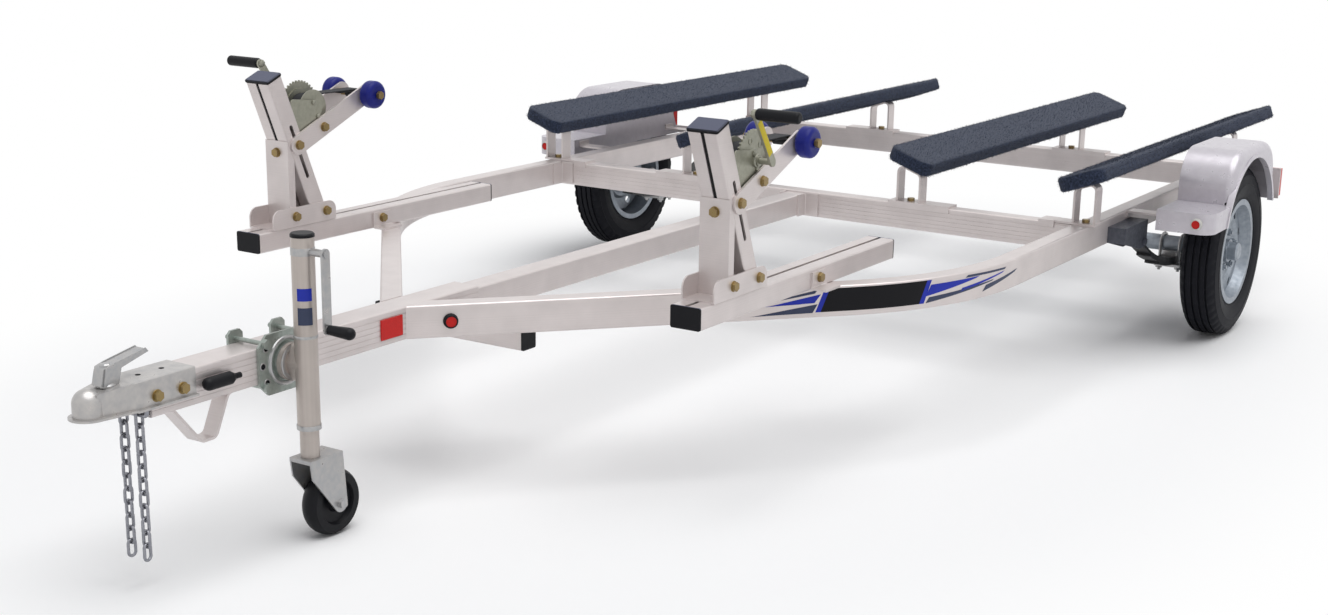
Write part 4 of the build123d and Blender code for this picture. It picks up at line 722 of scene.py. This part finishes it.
class TRAILER_OT_lamps(bpy.types.Operator):
    """Set bezels round the marker lamps and tail lamps"""
    bl_idname = "trailer.lamps"
    bl_label = "Set the lamp bezels"

    def execute(self, context):
        paint = context.scene.trailer_finishes
        rubber = moulded_plastic("black_grommet_rubber", paint.rubber, 0.6, 1.0, 0.2)
        shell = moulded_plastic("black_lamp_housing", "#1C1D20", 0.4, 1.0, 0.15)
        pale = moulded_plastic("pale_lamp_base", "#D9D7D2", 0.4, 1.5, 0.1)
        marker, face = rail_face(29.0)
        step_x, step_y, step_z = 395, 1160, 410.5
        bezel = [(13.3, 0), (17.4, 0), (17.0, 4.0), (15.8, 9.0), (14.4, 11.0), (12.2, 11.4),
                 (12.4, 10.2), (13.3, 10.1)]
        diagonal, step, tail = bmesh.new(), bmesh.new(), bmesh.new()
        for sign in SIDES.values():
            seat = at(marker.x, sign * marker.y, TONGUE_MID)
            turned(diagonal, bezel, seat, (face.x, sign * face.y, 0), 36)
            turned(step, bezel, at(step_x, sign * step_y, step_z), (1, 0, 0), 36)
            self.frame(tail, sign)
        new_piece("marker_grommets", diagonal, rubber)
        new_piece("step_lamp_bases", step, pale)
        new_piece("tail_lamp_frames", tail, shell)
        return {"FINISHED"}

    def frame(self, shape, sign):
        """A rounded frame round one tail lamp's foot."""
        x, round_r, path_r = -330.2, 6.0, 6.4
        y0, y1, z0, z1 = 1105.0 + round_r, 1195.0 - round_r, 392.0 + round_r, 478.0 - round_r
        path = []
        for cy, cz, start in ((y1, z1, 0), (y0, z1, 90), (y0, z0, 180), (y1, z0, 270)):
            for k in range(5):
                a = math.radians(start + 22.5 * k)
                path.append(at(x, sign * (cy + path_r * math.cos(a)), cz + path_r * math.sin(a)))
        section = [(0, 0), (0, -2.2), (-7, -2.2), (-9, -1.2), (-9, 0)]
        outward = -sign
        swept(shape, path, Vector((1, 0, 0)), [(a * MM, outward * b * MM) for a, b in section], closed=True)


class TRAILER_OT_fasteners(bpy.types.Operator):
    """Put washers under the bolt heads and dark strips of painted shade in the post slots"""
    bl_idname = "trailer.fasteners"
    bl_label = "Fit washers and slot strips"

    def execute(self, context):
        paint = context.scene.trailer_finishes
        zinc = surface_film("yellow_passivated_washer", paint.yellow_zinc, "#8A7256", 0.8, 0.3, 3)
        # A dark strip in each post's slot: painted shade for the inside of the slot.
        strip = moulded_plastic("painted_slot_shade", "#101114", 0.5, 1.5, 0.1)
        bore, radius, thick = 8.0, 12.4, 1.5
        washers, strips = bmesh.new(), bmesh.new()
        for sign in SIDES.values():
            for (x, y, z), (nx, ny, nz) in self.seats():
                washer(washers, at(x, sign * y, z), (nx, sign * ny, nz), bore, radius, thick)
            self.strip(strips, sign)
        new_piece("bolt_washers", washers, zinc)
        new_piece("painted_shade_in_post_slots", strips, strip)
        return {"FINISHED"}

    def seats(self):
        """Where the bolts of the left side sit, and the ways they face."""
        coupler, arm, base, clip = 41.1, 44.1, 42.1, 43.1
        seats = [((x, coupler, 388.0), (0, 1, 0)) for x in (3238.0, 3173.0)]
        for way in (1, -1):
            seats += [((x, SKI_Y + way * arm, z), (0, way, 0))
                      for x, z in ((2177.0, 679.0), (2085.0, 715.0))]
            seats += [((x, SKI_Y + way * base, 498.0), (0, way, 0)) for x in (2085.0, 2195.0)]
        seats.append(((2212.0, SKI_Y, 660.0), (1, 0, 0)))
        seats.append(((1800.0, SKI_Y + clip, 447.2), (0, 1, 0)))
        seats.append(((1872.0, SKI_Y - clip, 447.2), (0, -1, 0)))
        return seats

    def strip(self, shape, sign):
        """The dark strip in the front slot of one post: painted shade for the inside of the slot."""
        foot, top, face = Vector((2094.0, 470.0)), Vector((2250.0, 855.0)), 22.6
        section = ((-1, -4.2), (-1, 4.2), (0.4, 4.2), (0.9, 3.2), (0.9, -3.2), (0.4, -4.2))
        up = (top - foot).normalized()
        front = Vector((up.y, -up.x))
        rings = []
        for s in (205.0, 402.0):
            mid = foot + up * s + front * face
            rings.append([at(mid.x + front.x * d, sign * SKI_Y + w, mid.y + front.y * d)
                          for d, w in section])
        bridge(shape, rings, False)


class TRAILER_OT_winch_fittings(bpy.types.Operator):
    """Add the gear hubs, hole rims, bolts, collars and crank nuts of the winches, and a crank strip"""
    bl_idname = "trailer.winch_fittings"
    bl_label = "Fit out the winches"

    def execute(self, context):
        paint = context.scene.trailer_finishes
        zinc = surface_film("dull_zinc_fittings", paint.dull_zinc, "#82847A", 0.8, 0.4, 5)
        yellow = moulded_plastic("yellow_vinyl_strip", paint.strip, 0.4, 2.0, 0.05)
        shape, label = bmesh.new(), bmesh.new()
        for sign in SIDES.values():
            self.winch(shape, sign)
        self.strip(label)
        new_piece("winch_fittings", shape, zinc)
        new_piece("crank_strip", label, yellow)
        return {"FINISHED"}

    def winch(self, shape, sign):
        """The turned fittings of one winch, outward of its place's centreline."""
        gear_face, cheek_face, crank_back, hole_ring = 27.5, 35.0, 74.0, 44.0
        hub = [(9, 0), (26, 0), (26, 1.2), (24, 2.4), (16, 2.8), (14, 6.0), (9, 6.4)]
        bolt = [(0.5, 0), (6.5, 0), (6.5, 3), (4.5, 4.5), (0.5, 4.8)]
        collar = [(7.4, 0), (15, 0), (15, 5), (12.5, 7), (12.5, 11), (7.4, 11)]
        nut = [(0.5, 0), (9.5, 0), (9.5, -5), (7, -6.5), (0.5, -6.5)]
        out, gear_y = (0, sign, 0), sign * (SKI_Y + gear_face)
        turned(shape, hub, at(DRUM.x, gear_y, DRUM.y), out, 40)
        for k in range(6):
            a = math.radians(60 * k + 15)
            spot = at(DRUM.x + hole_ring * math.cos(a), gear_y, DRUM.y + hole_ring * math.sin(a))
            washer(shape, spot, out, 5.0, 9.0, 1.2, 20)
        for way in (1, -1):
            for dx, dz in ((-6.0, -19.0), (9.0, 17.0)):
                spot = at(DRUM.x + dx, sign * SKI_Y + way * cheek_face, DRUM.y + dz)
                turned(shape, bolt, spot, (0, way, 0), 6)
        turned(shape, collar, at(DRUM.x, sign * (SKI_Y + cheek_face), DRUM.y), out, 32)
        turned(shape, nut, at(CRANK_END.x, sign * (SKI_Y + crank_back), CRANK_END.y), out, 6)

    def strip(self, shape):
        """A plain strip of film along the left winch's crank."""
        crank_face, half, seat, proud = SKI_Y + 80, 8.5, 0.05, 0.5
        along = (CRANK_END - DRUM).normalized()
        side = Vector((along.y, -along.x))
        rings = []
        for s in (22.0, 116.0):
            mid = DRUM + along * s
            rings.append([at(mid.x + side.x * d, crank_face + lift, mid.y + side.y * d)
                          for d, lift in ((-half, seat), (half, seat), (half, proud), (-half, proud))])
        bridge(shape, rings, False)


class TRAILER_OT_jack_fittings(bpy.types.Operator):
    """Add the jack's collars, the ribs and holes of its clamp with painted shade in the holes, and two
    plain bands
    """
    bl_idname = "trailer.jack_fittings"
    bl_label = "Fit out the jack"

    def execute(self, context):
        paint = context.scene.trailer_finishes
        zinc = surface_film("zinc_jack_collars", paint.zinc, "#9DA1A6", 0.7, 0.3, 8)
        # Thin dark discs at the clamp's holes: painted shade for the inside of each hole.
        hole_shade_finish = moulded_plastic("painted_clamp_hole_shade", "#15161A", 0.8, 1.0, 0.1)
        bands = (("blue_jack_band", paint.blue_film, 520, 546),
                 ("slate_jack_band", paint.slate_film, 470, 506))
        ribs, holes, collars = bmesh.new(), bmesh.new(), bmesh.new()
        self.clamp(ribs, holes)
        self.collars(collars)
        new_piece("clamp_ribs", ribs, zinc)
        new_piece("painted_shade_in_clamp_holes", holes, hole_shade_finish)
        new_piece("jack_collars", collars, zinc, "jack_body")
        for name, colour, low, high in bands:
            shape = bmesh.new()
            self.band(shape, low, high)
            new_piece(name, shape, printed_film(name, colour), "jack_body")
        return {"FINISHED"}

    def clamp(self, ribs, holes):
        """The round rib of the clamp's plate, and its holes with their rims; each hole is a thin dark disc
        of painted shade.
        """
        plate_face, across = 44.15, (0, 1, 0)
        rib = [(43, 0), (53, 0), (51.6, 3), (48, 4.4), (44.4, 3)]
        hole = [(0.5, 0), (6, 0), (6, 0.3), (0.5, 0.3)]
        turned(ribs, rib, at(JACK_X, plate_face, TONGUE_MID), across, 48)
        for dx, dz in ((58, 36), (58, -36), (-58, 36), (-58, -36), (68, 0), (-68, 0)):
            spot = at(JACK_X + dx, plate_face, TONGUE_MID + dz)
            turned(holes, hole, spot, across, 24)
            washer(ribs, spot, across, 6.2, 8.6, 1.6, 24)

    def collars(self, shape):
        """Three collars on the jack's tube and the rim of its swivel."""
        clear, ease_z, ease_r, swivel_face = 0.02, 1.0, 0.6, 64.6
        for low, high, proud in ((246.0, 256.0, 1.6), (440.0, 446.0, 1.0), (612.0, 628.0, 0.8)):
            inner, outer = JACK_R + clear, JACK_R + proud
            ring = [(inner, low), (outer, low), (outer, high - ease_z), (outer - ease_r, high),
                    (inner, high)]
            turned(shape, ring, at(JACK_X, JACK_Y, 0), (0, 0, 1), 48)
        rim = [(29, 0), (38, 0), (38, 1.6), (36.6, 2.6), (30.4, 2.6), (29, 1.6)]
        turned(shape, rim, at(JACK_X, swivel_face, TONGUE_MID), (0, 1, 0), 40)

    def band(self, shape, low, high):
        """A plain band of film on the front left of the jack's tube."""
        inner, outer, start, sweep, steps = JACK_R + 0.05, JACK_R + 0.3, 8, 74, 24
        rings = []
        for k in range(steps + 1):
            a = math.radians(start + sweep * k / steps)
            rings.append([at(JACK_X + r * math.cos(a), JACK_Y + r * math.sin(a), z)
                          for r, z in ((inner, low), (outer, low), (outer, high), (inner, high))])
        bridge(shape, rings, False)


class TRAILER_OT_coupler_fittings(bpy.types.Operator):
    """Add the latch's collar, nut and side plates, and thin dark discs of painted shade at the holes in the
    coupler's top
    """
    bl_idname = "trailer.coupler_fittings"
    bl_label = "Fit out the coupler"

    def execute(self, context):
        paint = context.scene.trailer_finishes
        zinc = surface_film("zinc_latch_fittings", paint.zinc, "#9DA1A6", 0.7, 0.3, 8)
        # Thin dark discs at the coupler's holes: painted shade for the inside of each hole.
        dark = moulded_plastic("painted_coupler_hole_shade", "#15161A", 0.8, 1.0, 0.1)
        up, latch = (0, 0, 1), at(3322, 0, COUPLER_TOP)
        collar = [(9.1, -4), (19, -4), (19, -1), (15.5, 3), (13, 9), (9.1, 10)]
        nut = [(0.5, 30), (11, 30), (11, 37), (8.5, 39.5), (0.5, 40)]
        disc = [(0.5, 0.02), (5.5, 0.02), (5.5, 0.3), (0.5, 0.3)]
        plate = ((3340, -2), (3333, 34), (3312, 40), (3236, 54), (3230, 46), (3296, 28), (3304, -2))
        plate_in, plate_out = 13.1, 15.6
        shape, holes = bmesh.new(), bmesh.new()
        turned(shape, collar, latch, up, 40)
        turned(shape, nut, latch, up, 6)
        for hole_x in (3246.0, 3188.0):
            turned(holes, disc, at(hole_x, 0, COUPLER_TOP), up, 28)
        for side in SIDES.values():
            bridge(shape, [[at(x, side * y, COUPLER_TOP + z) for x, z in plate]
                           for y in (plate_in, plate_out)], False)
        new_piece("latch_fittings", shape, zinc)
        new_piece("painted_shade_in_coupler_holes", holes, dark)
        return {"FINISHED"}


class TRAILER_OT_stage(bpy.types.Operator):
    """Lay the pale floor, hang the soft lamp and stand the camera"""
    bl_idname = "trailer.stage"
    bl_label = "Set the studio"

    def execute(self, context):
        scene, look = context.scene, context.scene.trailer_stage
        scene.view_settings.view_transform = "Standard"
        self.floor(scene, look)
        self.air(scene)
        self.lamp(scene)
        self.camera(scene, look)
        return {"FINISHED"}

    def floor(self, scene, look):
        """Paper far past the picture's edges, at the foot of the model."""
        low, reach = CAD_BOX[0][2], 40.0
        floor_mesh = bpy.data.meshes.new("studio_floor")
        floor_mesh.from_pydata([(-reach, -reach, low), (reach, -reach, low), (reach, reach, low),
                                (-reach, reach, low)], [], [(0, 1, 2, 3)])
        floor = bpy.data.objects.new("studio_floor", floor_mesh)
        scene.collection.objects.link(floor)
        floor_mesh.materials.append(studio_paper(look.floor))

    def air(self, scene):
        """A white surround to look at, and a weaker one that lights."""
        world = bpy.data.worlds.new("studio_air")
        scene.world = world
        world.use_nodes = True
        tree = world.node_tree
        tree.nodes.clear()
        lit = add_node(tree, "ShaderNodeBackground", {"Color": linear("#F2F4F8"), "Strength": 0.36})
        white = add_node(tree, "ShaderNodeBackground", {"Color": (1, 1, 1, 1), "Strength": 1.0})
        mix = add_node(tree, "ShaderNodeMixShader", links={0: seen_rays(tree), 1: lit.outputs[0],
                                                           2: white.outputs[0]})
        add_node(tree, "ShaderNodeOutputWorld", links={"Surface": mix.outputs[0]})

    def lamp(self, scene):
        """One broad lamp overhead, a little to the left."""
        way = Vector((0.0, -0.22, -1.0))
        lamp = bpy.data.lights.new("broad_key", "SUN")
        lamp.energy, lamp.angle = 2.0, math.radians(60)
        key = bpy.data.objects.new("broad_key", lamp)
        key.location = (1.5, 1.5, 5.0)
        key.rotation_euler = way.to_track_quat("-Z", "Y").to_euler()
        scene.collection.objects.link(key)

    def camera(self, scene, look):
        """The camera of the photograph, from its place, its three angles and its lens."""
        lens = bpy.data.cameras.new("photo_camera")
        lens.sensor_width, lens.lens = 36.0, look.lens
        lens.shift_x, lens.shift_y = look.shift
        camera = bpy.data.objects.new("photo_camera", lens)
        ahead = Vector((-math.cos(look.yaw) * math.cos(look.pitch),
                        -math.sin(look.yaw) * math.cos(look.pitch), -math.sin(look.pitch)))
        side = Vector((-math.sin(look.yaw), math.cos(look.yaw), 0))
        up = side.cross(ahead)
        right = side * math.cos(look.roll) + up * math.sin(look.roll)
        top = up * math.cos(look.roll) - side * math.sin(look.roll)
        turn = Matrix((right, top, -ahead)).transposed()
        camera.matrix_world = Matrix.Translation(look.eye) @ turn.to_4x4()
        scene.collection.objects.link(camera)
        scene.camera = camera


class TRAILER_PT_sidebar(bpy.types.Panel):
    """Lists the trailer's steps"""
    bl_label = "Trailer"
    bl_idname = "TRAILER_PT_sidebar"
    bl_space_type = "VIEW_3D"
    bl_region_type = "UI"
    bl_category = "Trailer"

    def draw(self, context):
        for step in STEPS:
            self.layout.operator(step.bl_idname)


STEPS = (TRAILER_OT_finish_cad, TRAILER_OT_bunks, TRAILER_OT_tyres, TRAILER_OT_straps, TRAILER_OT_chains,
         TRAILER_OT_stripes, TRAILER_OT_lamps, TRAILER_OT_fasteners, TRAILER_OT_winch_fittings,
         TRAILER_OT_jack_fittings, TRAILER_OT_coupler_fittings, TRAILER_OT_stage)
GROUPS = {"trailer_finishes": TRAILER_PG_finishes, "trailer_fittings": TRAILER_PG_fittings,
          "trailer_stage": TRAILER_PG_stage}


def register():
    for cls in (*GROUPS.values(), *STEPS, TRAILER_PT_sidebar):
        bpy.utils.register_class(cls)
    for name, group in GROUPS.items():
        setattr(bpy.types.Scene, name, bpy.props.PointerProperty(type=group))


def unregister():
    for name in GROUPS:
        delattr(bpy.types.Scene, name)
    for cls in (TRAILER_PT_sidebar, *reversed(STEPS), *GROUPS.values()):
        bpy.utils.unregister_class(cls)


def main():
    register()
    for step in STEPS:
        family, name = step.bl_idname.split(".")
        getattr(getattr(bpy.ops, family), name)()


if __name__ == "__main__":
    main()
